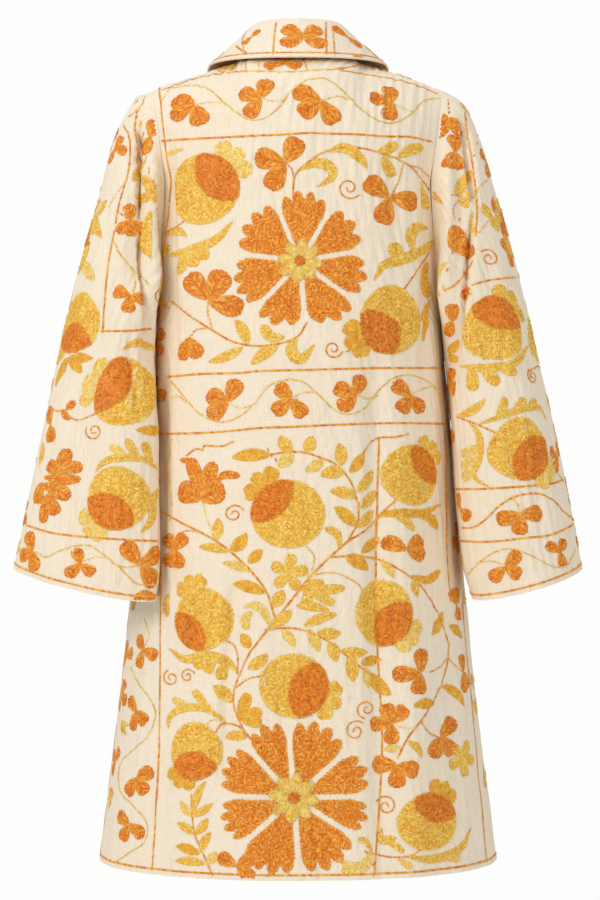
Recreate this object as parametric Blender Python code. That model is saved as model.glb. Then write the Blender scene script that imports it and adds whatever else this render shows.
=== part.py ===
"""A knee-length A-line coat with a turn-down collar and wide straight sleeves, filled out as if worn.

The front faces -Y, the wearer's left is +X and up is +Z. The origin is at the base of the neck,
midway between the neck ends of the two shoulder seams. Every piece is a wall of cloth, lofted through
sections that are worked out from the sizes below.
"""

import math
from collections import namedtuple

import bmesh
import bpy
import numpy as np

# Cloth and seams
WALL = 0.0020
COLLAR_WALL = 0.0026
SEAM_GAP = 0.0003
SEAM_PULL = 0.00019
COLLAR_PULL = 0.00045
# Where two panels meet in a sharper turn than this, as the cosine of half the turn
TURN_BACK = 0.75
TURN_SPAN = 0.35

# Heights
HEM_Z = -1.0285
UNDERARM_Z = -0.335
BLADE_Z = -0.150

# Shoulder, neckline and front edge
NECK_HALF_WIDTH = 0.078
NECK_BACK_DEPTH = 0.060
NECK_BACK_DROP = -0.004
NECK_SIDE_RISE = 0.006
NECK_FRONT_DEPTH = 0.086
NECK_FRONT_DROP = 0.072
SHOULDER_POINT = (0.187, -0.0300)
SHOULDER_CROWN = 0.0030
FRONT_HALF_GAP_TOP = 0.005
FRONT_HALF_GAP_HEM = 0.018

# Armhole
ARMHOLE_ACROSS = 0.170
ARMHOLE_ROUND = 0.62

# How square the sections and the shoulder are: 2 is an ellipse
BODY_SQUARE = 2.15
SHOULDER_SQUARE = 2.3

# Mesh density: steps up the body, up the armhole, over the yoke, and across half a panel
BODY_STEPS = 12
ARMHOLE_STEPS = 9
YOKE_STEPS = 8
NECK_COLUMNS = 6
SHOULDER_COLUMNS = 7
SLEEVE_STEPS = 16
COLLAR_STAND_STEPS = 2
COLLAR_ROLL_STEPS = 4
COLLAR_FALL_STEPS = 3

# The body's horizontal sections: half width at the side seam, and how far the centre back, the centre
# front and the side seam lie behind the origin
Level = namedtuple("Level", "z half_width back_y front_y side_y")
LEVELS = (
    Level(-1.0285, 0.2585, 0.166, -0.160, -0.022),
    Level(-0.8700, 0.2385, 0.156, -0.152, -0.026),
    Level(-0.7000, 0.2200, 0.147, -0.144, -0.032),
    Level(-0.5000, 0.2030, 0.137, -0.136, -0.028),
    Level(-0.3350, 0.1860, 0.128, -0.128, 0.000),
    Level(-0.1500, 0.1880, 0.119, -0.117, 0.000),
)

# A sleeve's slanting sections: its outer and inner line, its half depth, and how much lower the back of
# the section hangs than its middle
Station = namedtuple(
    "Station", "along outer_x outer_y outer_z inner_x inner_y inner_z half_depth back_drop"
)
SLEEVE_LEFT = (
    Station(0.000, 0.1870, 0.000, -0.0300, 0.1860, 0.000, -0.3350, 0.064, 0.000),
    Station(0.060, 0.2140, 0.000, -0.0460, 0.1865, 0.004, -0.3430, 0.068, 0.000),
    Station(0.130, 0.2360, 0.001, -0.0900, 0.1870, 0.009, -0.3560, 0.071, 0.000),
    Station(0.230, 0.2560, 0.003, -0.1600, 0.1860, 0.024, -0.3800, 0.073, 0.001),
    Station(0.390, 0.2845, 0.008, -0.2680, 0.1820, 0.052, -0.4300, 0.070, 0.003),
    Station(0.550, 0.3095, 0.014, -0.3750, 0.1790, 0.066, -0.4880, 0.064, 0.005),
    Station(0.700, 0.3305, 0.020, -0.4740, 0.1780, 0.076, -0.5500, 0.058, 0.007),
    Station(0.850, 0.3495, 0.024, -0.5690, 0.1780, 0.084, -0.6200, 0.053, 0.008),
    Station(1.000, 0.3655, 0.026, -0.6480, 0.1800, 0.090, -0.6860, 0.050, 0.008),
)
SLEEVE_RIGHT = (
    Station(0.000, 0.1870, 0.000, -0.0300, 0.1860, 0.000, -0.3350, 0.064, 0.000),
    Station(0.060, 0.2130, 0.000, -0.0460, 0.1870, 0.003, -0.3430, 0.068, 0.000),
    Station(0.130, 0.2345, 0.001, -0.0900, 0.1900, 0.007, -0.3560, 0.072, 0.000),
    Station(0.230, 0.2545, 0.003, -0.1600, 0.1950, 0.014, -0.3800, 0.075, 0.001),
    Station(0.390, 0.2845, 0.007, -0.2680, 0.2010, 0.024, -0.4300, 0.075, 0.003),
    Station(0.550, 0.3090, 0.012, -0.3750, 0.2050, 0.032, -0.4880, 0.072, 0.005),
    Station(0.700, 0.3310, 0.016, -0.4740, 0.2090, 0.038, -0.5500, 0.068, 0.007),
    Station(0.850, 0.3510, 0.019, -0.5690, 0.2150, 0.042, -0.6200, 0.065, 0.008),
    Station(1.000, 0.3660, 0.020, -0.6480, 0.2230, 0.044, -0.6860, 0.064, 0.008),
)
# How far a sleeve hangs clear of the body, and how soon below the armhole
SLEEVE_CLEAR = 0.0030
CLEAR_START = 0.03
CLEAR_SOFTNESS = 0.008
# How far down the sleeve the armhole's own outline still shows
ARMHOLE_FADE = 0.42

# The slack of a sleeve laps over its back armhole seam when the arm hangs down
LAP_INWARD = 0.005
LAP_BACKWARD = 0.010
LAP_START = 0.10
LAP_END = 0.42

# The largest folds. A fold runs from its top to its bottom as seen from behind or from the front, bows
# sideways halfway, and is this deep at its middle. A negative depth is a ridge.
Fold = namedtuple("Fold", "side x_top z_top x_bottom z_bottom bow depth width")
BODY_FOLDS = (
    Fold(1, -0.098, -0.290, -0.108, -1.100, 0.004, 0.0075, 0.017),
    Fold(1, -0.130, -0.420, -0.152, -1.120, 0.000, -0.0050, 0.024),
    Fold(1, 0.076, -0.600, 0.098, -0.960, -0.004, 0.0070, 0.014),
    Fold(1, 0.050, -0.560, 0.052, -1.100, 0.000, -0.0035, 0.022),
    Fold(1, 0.150, -0.560, 0.178, -1.110, 0.000, 0.0045, 0.024),
    Fold(1, -0.020, -0.680, -0.030, -1.110, 0.000, 0.0030, 0.026),
    Fold(-1, 0.118, -0.330, 0.140, -1.110, 0.004, 0.0070, 0.020),
    Fold(-1, 0.062, -0.470, 0.078, -1.110, 0.000, -0.0045, 0.022),
    Fold(-1, -0.110, -0.360, -0.128, -1.110, -0.004, 0.0065, 0.020),
    Fold(-1, -0.060, -0.520, -0.082, -1.110, 0.000, -0.0045, 0.024),
)
# On a sleeve, x is measured outward from the middle of the body
SLEEVE_FOLDS = (
    Fold(1, 0.203, -0.040, 0.194, -0.430, 0.005, 0.0085, 0.019),
    Fold(1, 0.232, -0.150, 0.245, -0.460, 0.004, 0.0040, 0.016),
    Fold(1, 0.262, -0.360, 0.292, -0.720, 0.000, 0.0035, 0.018),
    Fold(-1, 0.208, -0.050, 0.226, -0.400, 0.005, 0.0070, 0.018),
    Fold(-1, 0.240, -0.180, 0.262, -0.520, 0.000, 0.0045, 0.018),
)
FOLD_TAPER = 0.22

# The collar from centre front (0) round the side (0.5) to centre back (1): height of the stand, how far
# it leans to the neck, length of the fall, and the fall's slope below the level
CollarRow = namedtuple("CollarRow", "round stand lean fall slope")
COLLAR_ROWS = (
    CollarRow(0.00, 0.012, 0.002, 0.066, 56.0),
    CollarRow(0.25, 0.028, 0.006, 0.066, 28.0),
    CollarRow(0.50, 0.043, 0.024, 0.070, 41.0),
    CollarRow(0.75, 0.049, 0.022, 0.067, 50.0),
    CollarRow(1.00, 0.050, 0.016, 0.065, 55.0),
)
ROLL_RADIUS = 0.0040
COLLAR_SPREAD = 0.86

CREAM = (0.84, 0.76, 0.62, 1.0)


def smooth(rows, column, at, key=0):
    """The column's value at a place in the table, on a smooth curve through its rows."""
    places = np.array([row[key] for row in rows], float)
    values = np.array([getattr(row, column) for row in rows], float)
    slopes = np.gradient(values, places)
    i = np.clip(np.searchsorted(places, at) - 1, 0, len(places) - 2)
    span = places[i + 1] - places[i]
    t = np.clip((at - places[i]) / span, 0.0, 1.0)
    rise = values[i + 1] - values[i]
    bend_in = slopes[i] * span - rise
    bend_out = rise - slopes[i + 1] * span
    return values[i] + t * rise + t * (1 - t) * ((1 - t) * bend_in + t * bend_out)


def ease(t):
    """0 to 1 with level ends."""
    t = np.clip(t, 0.0, 1.0)
    return t * t * (3 - 2 * t)


def evenly(points, count):
    """count + 1 points along a line of points, evenly spaced by length."""
    steps = np.linalg.norm(np.diff(points, axis=0), axis=1)
    along = np.concatenate([[0.0], np.cumsum(steps)])
    at = np.linspace(0.0, along[-1], count + 1)
    return np.stack([np.interp(at, along, points[:, k]) for k in range(3)], axis=1)


def body_arc(z, side, x_in, x_out, count):
    """Points along the body's section at height z, from x_in near the centre to x_out near the side."""
    half_width = smooth(LEVELS, "half_width", z)
    side_y = smooth(LEVELS, "side_y", z)
    centre_y = smooth(LEVELS, "back_y" if side > 0 else "front_y", z)
    power = 2 / BODY_SQUARE
    first, last = (math.asin(min(1.0, (x / half_width) ** (1 / power))) for x in (x_in, x_out))
    angle = np.linspace(first, last, 90)
    x = half_width * np.sin(angle) ** power
    y = side_y + (centre_y - side_y) * np.maximum(np.cos(angle), 0.0) ** power
    return evenly(np.stack([x, y, np.full_like(x, z)], axis=1), count)


def front_gap(z):
    """Half the gap between the two front edges at height z."""
    share = (z - HEM_Z) / (-NECK_FRONT_DROP - HEM_Z)
    return FRONT_HALF_GAP_HEM + (FRONT_HALF_GAP_TOP - FRONT_HALF_GAP_HEM) * share


def armhole_x(z, side):
    """Where the armhole's edge crosses height z, between the underarm and the blade level."""
    share = (z - UNDERARM_Z) / (BLADE_Z - UNDERARM_Z)
    half_width = smooth(LEVELS, "half_width", z)
    full = 1 - (ARMHOLE_ACROSS / half_width) ** BODY_SQUARE
    cut = full * math.sin(share * math.pi / 2) ** (ARMHOLE_ROUND * BODY_SQUARE)
    return half_width * (1 - cut) ** (1 / BODY_SQUARE)


def top_edge(side):
    """The neckline and the shoulder seam, from the centre to the shoulder point."""
    depth = NECK_BACK_DEPTH if side > 0 else -NECK_FRONT_DEPTH
    drop = NECK_BACK_DROP if side > 0 else NECK_FRONT_DROP
    first = 0.0 if side > 0 else math.asin(FRONT_HALF_GAP_TOP / NECK_HALF_WIDTH)
    turn = np.linspace(first, math.pi / 2, NECK_COLUMNS + 1)
    mid = np.cos(turn) ** 1.6
    neck_z = NECK_SIDE_RISE * (1 - mid) - drop * mid
    neck = np.stack([NECK_HALF_WIDTH * np.sin(turn), depth * np.cos(turn), neck_z], axis=1)
    share = np.linspace(0.0, 1.0, SHOULDER_COLUMNS + 1)[1:]
    end_x, end_z = SHOULDER_POINT
    seam_x = NECK_HALF_WIDTH + (end_x - NECK_HALF_WIDTH) * share
    seam_z = NECK_SIDE_RISE * (1 - share) ** 3 + end_z * share + SHOULDER_CROWN * np.sin(share * math.pi)
    seam = np.stack([seam_x, np.zeros_like(seam_x), seam_z], axis=1)
    return np.concatenate([neck, seam])


def half_body(side):
    """Half the back or one front as rows of points, from hem to shoulder and from centre to side."""
    columns = NECK_COLUMNS + SHOULDER_COLUMNS
    rows = []
    for z in np.linspace(HEM_Z, UNDERARM_Z, BODY_STEPS + 1):
        x_in = 0.0 if side > 0 else front_gap(z)
        rows.append(body_arc(z, side, x_in, float(smooth(LEVELS, "half_width", z)), columns))
    for step in range(1, ARMHOLE_STEPS + 1):
        z = UNDERARM_Z + (BLADE_Z - UNDERARM_Z) * step / ARMHOLE_STEPS
        x_in = 0.0 if side > 0 else front_gap(z)
        rows.append(body_arc(z, side, x_in, armhole_x(z, side), columns))
    low, high = rows[-1], top_edge(side)
    power = 2 / SHOULDER_SQUARE
    for step in range(1, YOKE_STEPS + 1):
        turn = step / YOKE_STEPS * math.pi / 2
        up = math.sin(turn) ** power
        back = max(0.0, math.cos(turn)) ** power
        x = low[:, 0] + (high[:, 0] - low[:, 0]) * up
        y = high[:, 1] + (low[:, 1] - high[:, 1]) * back
        z = low[:, 2] + (high[:, 2] - low[:, 2]) * up
        rows.append(np.stack([x, y, z], axis=1))
    return np.array(rows)


def body_side(points):
    """How far out the body's side lies at each point's depth and height."""
    z = np.clip(points[:, 2], HEM_Z, BLADE_Z)
    half_width, side_y = smooth(LEVELS, "half_width", z), smooth(LEVELS, "side_y", z)
    off = points[:, 1] - side_y
    centre_y = np.where(off > 0, smooth(LEVELS, "back_y", z), smooth(LEVELS, "front_y", z))
    share = np.clip(off / (centre_y - side_y), 0.0, 1.0)
    above = ease((points[:, 2] - BLADE_Z) / -BLADE_Z)
    return half_width * (1 - share**BODY_SQUARE) ** (1 / BODY_SQUARE) * (1 - above)


def mirrored(grid):
    """The same points on the other side of the body."""
    return grid * np.array([-1.0, 1.0, 1.0])


def sleeve(stations, back, front):
    """A sleeve as rows of points, each row a loop that starts at the underarm and goes up the back."""
    up_back = back[BODY_STEPS:, -1]
    down_front = front[BODY_STEPS + 1 : -1, -1][::-1]
    armhole = np.concatenate([up_back, down_front])
    turn = math.pi - 2 * math.pi * np.arange(len(armhole)) / len(armhole)
    along = np.linspace(0.0, 1.0, SLEEVE_STEPS + 1)

    def section(at):
        size = {name: float(smooth(stations, name, at)) for name in Station._fields[1:]}
        outer = np.array([size["outer_x"], size["outer_y"], size["outer_z"]])
        inner = np.array([size["inner_x"], size["inner_y"], size["inner_z"]])
        middle = (outer + inner) / 2
        across = (outer - inner) / 2
        deep = np.array([0.0, size["half_depth"], -size["back_drop"]])
        return middle + np.outer(np.cos(turn), across) + np.outer(np.sin(turn), deep)

    own = armhole - section(0.0)
    lean = np.clip(np.sin(turn), 0.0, None) ** 1.2
    low = 0.35 + 0.65 * ease((1 - np.cos(turn)) / 1.6)
    rows = []
    for at in along:
        rise = ease(at / LAP_START) * (1 - ease((at - LAP_START) / (LAP_END - LAP_START)))
        lap = rise * lean * low
        slack = np.outer(lap, np.array([-LAP_INWARD, LAP_BACKWARD, 0.0]))
        row = section(at) + own * (1 - ease(at / ARMHOLE_FADE)) + slack
        off = row[:, 0] - body_side(row) - SLEEVE_CLEAR * ease(at / CLEAR_START)
        blend = CLEAR_SOFTNESS * ease(at / CLEAR_START)
        row[:, 0] += (np.sqrt(off * off + blend * blend) - off) / 2
        rows.append(row)
    return np.array(rows)


def collar(neckline):
    """The collar as rows of points round the neckline, on the side that faces away from the neck.

    Each column goes up the stand, over the roll and down the fall.
    """
    columns = []
    last = len(neckline) - 1
    for k, foot in enumerate(neckline):
        round_neck = 1 - abs(2 * k / last - 1)
        size = {name: float(smooth(COLLAR_ROWS, name, round_neck)) for name in CollarRow._fields[1:]}
        turn = math.atan2(foot[0] / NECK_HALF_WIDTH, foot[1] / NECK_FRONT_DEPTH)
        spread = turn if abs(turn) < math.pi / 2 else math.copysign(
            math.pi / 2 + (abs(turn) - math.pi / 2) * COLLAR_SPREAD, turn
        )
        out = np.array([math.sin(spread), math.cos(spread), 0.0])
        up = np.array([0.0, 0.0, 1.0])
        top = foot - out * size["lean"] + up * (size["stand"] - ROLL_RADIUS)
        centre = top + out * ROLL_RADIUS
        points = [foot + (top - foot) * i / COLLAR_STAND_STEPS for i in range(COLLAR_STAND_STEPS + 1)]
        slope = math.radians(size["slope"])
        for i in range(1, COLLAR_ROLL_STEPS + 1):
            angle = math.pi - (math.pi / 2 + slope) * i / COLLAR_ROLL_STEPS
            points.append(centre + ROLL_RADIUS * (out * math.cos(angle) + up * math.sin(angle)))
        down = out * math.cos(slope) - up * math.sin(slope)
        start = points[-1]
        for i in range(1, COLLAR_FALL_STEPS + 1):
            points.append(start + down * size["fall"] * i / COLLAR_FALL_STEPS)
        columns.append(points)
    return np.array(columns).transpose(1, 0, 2)


def own_normals(grid, loop):
    """Unit normals of a grid of points, by the steps to its neighbours."""
    up = np.gradient(grid, axis=0)
    if loop:
        round_it = np.concatenate([grid[:, -1:], grid, grid[:, :1]], axis=1)
        across = np.gradient(round_it, axis=1)[:, 1:-1]
    else:
        across = np.gradient(grid, axis=1)
    normals = np.cross(across, up)
    return normals / np.linalg.norm(normals, axis=2, keepdims=True)


def shared_normals(panels):
    """Each panel's normals, made the same where panels meet, so that both seam edges lean alike.

    Where the cloth turns back on itself at a seam, each panel keeps more of its own normal. The second
    value is how much longer the step through the cloth is along a shared normal, and the third is how
    sharply the cloth turns back, from 0 to 1.
    """
    own = {name: own_normals(p.grid, p.loop) * p.out for name, p in panels.items()}
    sums = {}
    keys = {}
    for name, p in panels.items():
        keys[name] = [[tuple(np.round(v * 1e5).astype(int)) for v in row] for row in p.grid]
        for i, row in enumerate(keys[name]):
            for j, key in enumerate(row):
                sums[key] = sums.get(key, 0) + own[name][i, j]
    joint, stretch, sharp = {}, {}, {}
    for name, rows in keys.items():
        shared = np.array([[sums[key] for key in row] for row in rows])
        shared /= np.linalg.norm(shared, axis=2, keepdims=True)
        lean = (shared * own[name]).sum(axis=2, keepdims=True)
        turn = ease((TURN_BACK - lean) / TURN_SPAN)
        shared = shared * (1 - turn) + own[name] * turn
        shared /= np.linalg.norm(shared, axis=2, keepdims=True)
        joint[name], sharp[name] = shared, turn
        stretch[name] = 1 / np.clip((shared * own[name]).sum(axis=2, keepdims=True), 0.6, 1.0)
    return joint, stretch, sharp


def fold_depth(folds, points, normals, mirror):
    """How far the folds push each point inward."""
    x, z = points[..., 0] * mirror, points[..., 2]
    depth = np.zeros(x.shape)
    for fold in folds:
        down = (fold.z_top - z) / (fold.z_top - fold.z_bottom)
        path = fold.x_top + (fold.x_bottom - fold.x_top) * down + fold.bow * 4 * down * (1 - down)
        off = (x - path) / fold.width
        shape = np.exp(-off * off) * (1 - 0.35 * off * off)
        ends = ease(down / FOLD_TAPER) * ease((1 - down) / FOLD_TAPER)
        facing = ease(normals[..., 1] * fold.side * 2.2)
        depth += fold.depth * shape * ends * facing
    return depth


def pull_from_seams(grid, edges, pull):
    """How far each point moves into its own panel, so that two panels keep a gap at their seam."""
    move = np.zeros_like(grid)
    rows, columns = grid.shape[:2]
    inward = {
        "top": (slice(rows - 1, rows), slice(rows - 2, rows - 1), slice(None), slice(None)),
        "bottom": (slice(0, 1), slice(1, 2), slice(None), slice(None)),
        "low_side": (slice(None), slice(None), slice(0, 1), slice(1, 2)),
        "high_side": (slice(None), slice(None), slice(columns - 1, columns), slice(columns - 2, columns - 1)),
    }
    for edge in edges:
        row, next_row, column, next_column = inward[edge]
        step = grid[next_row, next_column] - grid[row, column]
        move[row, column] += pull * step / np.linalg.norm(step, axis=2, keepdims=True)
    return move


def shell(name, outer, inner, loop, flip, material, collection):
    """A closed wall of cloth between an outer and an inner grid of points."""
    mesh = bmesh.new()
    rows, columns = outer.shape[:2]
    skin = [[mesh.verts.new(p) for p in row] for row in outer]
    back = [[mesh.verts.new(p) for p in row] for row in inner]

    def face(*corners):
        mesh.faces.new(corners[::-1] if flip else corners)

    def edge(a, b, c, d):
        face(a, b, c)
        face(a, c, d)

    across = range(columns) if loop else range(columns - 1)
    for i in range(rows - 1):
        for j in across:
            k = (j + 1) % columns
            face(skin[i][j], skin[i][k], skin[i + 1][k])
            face(skin[i][j], skin[i + 1][k], skin[i + 1][j])
            face(back[i][j], back[i + 1][k], back[i][k])
            face(back[i][j], back[i + 1][j], back[i + 1][k])
    for j in across:
        k = (j + 1) % columns
        edge(skin[0][k], skin[0][j], back[0][j], back[0][k])
        edge(skin[-1][j], skin[-1][k], back[-1][k], back[-1][j])
    if not loop:
        for i in range(rows - 1):
            edge(skin[i][0], skin[i + 1][0], back[i + 1][0], back[i][0])
            edge(skin[i + 1][-1], skin[i][-1], back[i][-1], back[i + 1][-1])
    data = bpy.data.meshes.new(name)
    mesh.to_mesh(data)
    mesh.free()
    data.materials.append(material)
    data.shade_smooth()
    data.set_sharp_from_angle(angle=math.radians(50))
    piece = bpy.data.objects.new(name, data)
    collection.objects.link(piece)
    return piece


Panel = namedtuple("Panel", "grid loop out seams pull wall folds mirror")


def cut_panels():
    """Every piece of the coat as a grid of points, before its folds."""
    back, front = half_body(1), half_body(-1)
    whole_back = np.concatenate([mirrored(back)[:, :0:-1], back], axis=1)
    neck_front = front[-1, : NECK_COLUMNS + 1]
    neck_back = back[-1, :NECK_COLUMNS]
    left_half = np.concatenate([neck_front, neck_back[::-1]])
    neckline = np.concatenate([left_half, mirrored(left_half)[-2::-1]])
    return {
        "back": Panel(whole_back, False, -1, ("top", "low_side", "high_side"), SEAM_PULL, WALL, BODY_FOLDS, 1),
        "front_left": Panel(front, False, 1, ("top", "high_side"), SEAM_PULL, WALL, BODY_FOLDS, 1),
        "front_right": Panel(mirrored(front), False, -1, ("top", "high_side"), SEAM_PULL, WALL, BODY_FOLDS, 1),
        "sleeve_left": Panel(
            sleeve(SLEEVE_LEFT, back, front), True, 1, ("bottom",), SEAM_PULL, WALL, SLEEVE_FOLDS, 1
        ),
        "sleeve_right": Panel(
            mirrored(sleeve(SLEEVE_RIGHT, back, front)), True, -1, ("bottom",), SEAM_PULL, WALL, SLEEVE_FOLDS, -1
        ),
        "collar": Panel(collar(neckline), False, 1, ("bottom",), COLLAR_PULL, COLLAR_WALL, (), 1),
    }


def build():
    for old in list(bpy.data.objects):
        bpy.data.objects.remove(old)
    collection = bpy.data.collections.new("coat")
    bpy.context.scene.collection.children.link(collection)
    cloth = bpy.data.materials.new("cream cotton")
    cloth.use_nodes = True
    surface = cloth.node_tree.nodes["Principled BSDF"]
    surface.inputs["Base Color"].default_value = CREAM
    surface.inputs["Roughness"].default_value = 0.85

    panels = cut_panels()
    normals, _, _ = shared_normals(panels)
    for name, p in panels.items():
        depth = fold_depth(p.folds, p.grid, normals[name], p.mirror)
        p.grid[:] = p.grid - normals[name] * depth[..., None]
    normals, stretch, sharp = shared_normals(panels)
    for name, p in panels.items():
        through = normals[name] * stretch[name] * p.wall
        pull = pull_from_seams(p.grid, p.seams, p.pull)
        outer = p.grid + pull - normals[name] * sharp[name] * SEAM_GAP
        shell(name, outer, outer - through, p.loop, p.out < 0, cloth, collection)


build()
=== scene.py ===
"""A knee-length A-line coat of cream cotton with needlework in orange and gold, filled out as if worn.

The front faces -Y and the photograph's side, the back, faces +Y. The cloth follows the same sizes as
the solid model, at a finer mesh, with small creases. The needlework is laid on it stitch by stitch.
"""

import math
from collections import namedtuple

import bpy
import numpy as np
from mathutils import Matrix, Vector


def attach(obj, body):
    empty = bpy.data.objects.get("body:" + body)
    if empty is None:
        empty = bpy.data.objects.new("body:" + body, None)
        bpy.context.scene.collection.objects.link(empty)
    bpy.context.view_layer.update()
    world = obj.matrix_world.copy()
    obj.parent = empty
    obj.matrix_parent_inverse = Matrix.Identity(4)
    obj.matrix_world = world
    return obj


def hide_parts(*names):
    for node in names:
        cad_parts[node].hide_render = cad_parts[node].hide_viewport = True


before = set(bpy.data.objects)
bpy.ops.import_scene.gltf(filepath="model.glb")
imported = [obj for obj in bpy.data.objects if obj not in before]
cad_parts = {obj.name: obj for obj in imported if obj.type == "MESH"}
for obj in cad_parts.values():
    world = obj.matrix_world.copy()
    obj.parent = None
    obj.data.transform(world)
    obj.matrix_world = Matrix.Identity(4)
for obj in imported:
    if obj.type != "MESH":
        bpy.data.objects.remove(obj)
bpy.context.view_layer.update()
rng = np.random.default_rng(7)


def table(columns, *rows):
    """Rows of values, each with its columns' names."""
    row = namedtuple("Row", columns)
    return tuple(row(*values) for values in rows)


# How far the collar's outer face, from which it is worked out, lies from the one that shows
COLLAR_WALL = 0.0026

# Heights
HEM_Z = -1.0285
UNDERARM_Z = -0.335
BLADE_Z = -0.150

# Shoulder, neckline and front edge
NECK_HALF_WIDTH = 0.078
NECK_BACK_DEPTH = 0.060
NECK_BACK_DROP = -0.004
NECK_SIDE_RISE = 0.006
NECK_FRONT_DEPTH = 0.086
NECK_FRONT_DROP = 0.072
SHOULDER_POINT = (0.187, -0.0300)
SHOULDER_CROWN = 0.0030
FRONT_HALF_GAP_TOP = 0.005
FRONT_HALF_GAP_HEM = 0.018

# Armhole
ARMHOLE_ACROSS = 0.170
ARMHOLE_ROUND = 0.62

# How square the sections and the shoulder are: 2 is an ellipse
BODY_SQUARE = 2.15
SHOULDER_SQUARE = 2.3

# Mesh density: steps up the body, up the armhole, over the yoke, and across half a panel
BODY_STEPS = 48
ARMHOLE_STEPS = 36
YOKE_STEPS = 32
NECK_COLUMNS = 24
SHOULDER_COLUMNS = 28
SLEEVE_STEPS = 64
COLLAR_STAND_STEPS = 8
COLLAR_ROLL_STEPS = 16
COLLAR_FALL_STEPS = 12

# The body's horizontal sections: half width at the side seam, and how far the centre back, the centre
# front and the side seam lie behind the origin
LEVELS = table(
    "z half_width back_y front_y side_y",
    (-1.0285, 0.2585, 0.166, -0.160, -0.022),
    (-0.8700, 0.2385, 0.156, -0.152, -0.026),
    (-0.7000, 0.2200, 0.147, -0.144, -0.032),
    (-0.5000, 0.2030, 0.137, -0.136, -0.028),
    (-0.3350, 0.1860, 0.128, -0.128, 0.000),
    (-0.1500, 0.1880, 0.119, -0.117, 0.000),
)

# A sleeve's slanting sections: its outer and inner line, its half depth, and how much lower the back of
# the section hangs than its middle
STATION = "along outer_x outer_y outer_z inner_x inner_y inner_z half_depth back_drop"
SLEEVE_LEFT = table(
    STATION,
    (0.000, 0.1870, 0.000, -0.0300, 0.1860, 0.000, -0.3350, 0.064, 0.000),
    (0.060, 0.2140, 0.000, -0.0460, 0.1865, 0.004, -0.3430, 0.068, 0.000),
    (0.130, 0.2360, 0.001, -0.0900, 0.1870, 0.009, -0.3560, 0.071, 0.000),
    (0.230, 0.2560, 0.003, -0.1600, 0.1860, 0.024, -0.3800, 0.073, 0.001),
    (0.390, 0.2845, 0.008, -0.2680, 0.1820, 0.052, -0.4300, 0.070, 0.003),
    (0.550, 0.3095, 0.014, -0.3750, 0.1790, 0.066, -0.4880, 0.064, 0.005),
    (0.700, 0.3305, 0.020, -0.4740, 0.1780, 0.076, -0.5500, 0.058, 0.007),
    (0.850, 0.3495, 0.024, -0.5690, 0.1780, 0.084, -0.6200, 0.053, 0.008),
    (1.000, 0.3655, 0.026, -0.6480, 0.1800, 0.090, -0.6860, 0.050, 0.008),
)
SLEEVE_RIGHT = table(
    STATION,
    (0.000, 0.1870, 0.000, -0.0300, 0.1860, 0.000, -0.3350, 0.064, 0.000),
    (0.060, 0.2130, 0.000, -0.0460, 0.1870, 0.003, -0.3430, 0.068, 0.000),
    (0.130, 0.2345, 0.001, -0.0900, 0.1900, 0.007, -0.3560, 0.072, 0.000),
    (0.230, 0.2545, 0.003, -0.1600, 0.1950, 0.014, -0.3800, 0.075, 0.001),
    (0.390, 0.2845, 0.007, -0.2680, 0.2010, 0.024, -0.4300, 0.075, 0.003),
    (0.550, 0.3090, 0.012, -0.3750, 0.2050, 0.032, -0.4880, 0.072, 0.005),
    (0.700, 0.3310, 0.016, -0.4740, 0.2090, 0.038, -0.5500, 0.068, 0.007),
    (0.850, 0.3510, 0.019, -0.5690, 0.2150, 0.042, -0.6200, 0.065, 0.008),
    (1.000, 0.3660, 0.020, -0.6480, 0.2230, 0.044, -0.6860, 0.064, 0.008),
)
# How far a sleeve hangs clear of the body, and how soon below the armhole
SLEEVE_CLEAR = 0.0030
CLEAR_START = 0.03
CLEAR_SOFTNESS = 0.008
# How far down the sleeve the armhole's own outline still shows
ARMHOLE_FADE = 0.42

# The slack of a sleeve laps over its back armhole seam when the arm hangs down
LAP_INWARD = 0.005
LAP_BACKWARD = 0.010
LAP_START = 0.10
LAP_END = 0.42

# The largest folds. A fold runs from its top to its bottom as seen from behind or from the front, bows
# sideways halfway, and is this deep at its middle. A negative depth is a ridge.
FOLD = "side x_top z_top x_bottom z_bottom bow depth width"
BODY_FOLDS = table(
    FOLD,
    (1, -0.098, -0.290, -0.108, -1.100, 0.004, 0.0075, 0.017),
    (1, -0.130, -0.420, -0.152, -1.120, 0.000, -0.0050, 0.024),
    (1, 0.076, -0.600, 0.098, -0.960, -0.004, 0.0070, 0.014),
    (1, 0.050, -0.560, 0.052, -1.100, 0.000, -0.0035, 0.022),
    (1, 0.150, -0.560, 0.178, -1.110, 0.000, 0.0045, 0.024),
    (1, -0.020, -0.680, -0.030, -1.110, 0.000, 0.0030, 0.026),
    (-1, 0.118, -0.330, 0.140, -1.110, 0.004, 0.0070, 0.020),
    (-1, 0.062, -0.470, 0.078, -1.110, 0.000, -0.0045, 0.022),
    (-1, -0.110, -0.360, -0.128, -1.110, -0.004, 0.0065, 0.020),
    (-1, -0.060, -0.520, -0.082, -1.110, 0.000, -0.0045, 0.024),
)
# On a sleeve, x is measured outward from the middle of the body
SLEEVE_FOLDS = table(
    FOLD,
    (1, 0.203, -0.040, 0.194, -0.430, 0.005, 0.0085, 0.019),
    (1, 0.232, -0.150, 0.245, -0.460, 0.004, 0.0040, 0.016),
    (1, 0.262, -0.360, 0.292, -0.720, 0.000, 0.0035, 0.018),
    (-1, 0.208, -0.050, 0.226, -0.400, 0.005, 0.0070, 0.018),
    (-1, 0.240, -0.180, 0.262, -0.520, 0.000, 0.0045, 0.018),
)
FOLD_TAPER = 0.22

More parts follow.
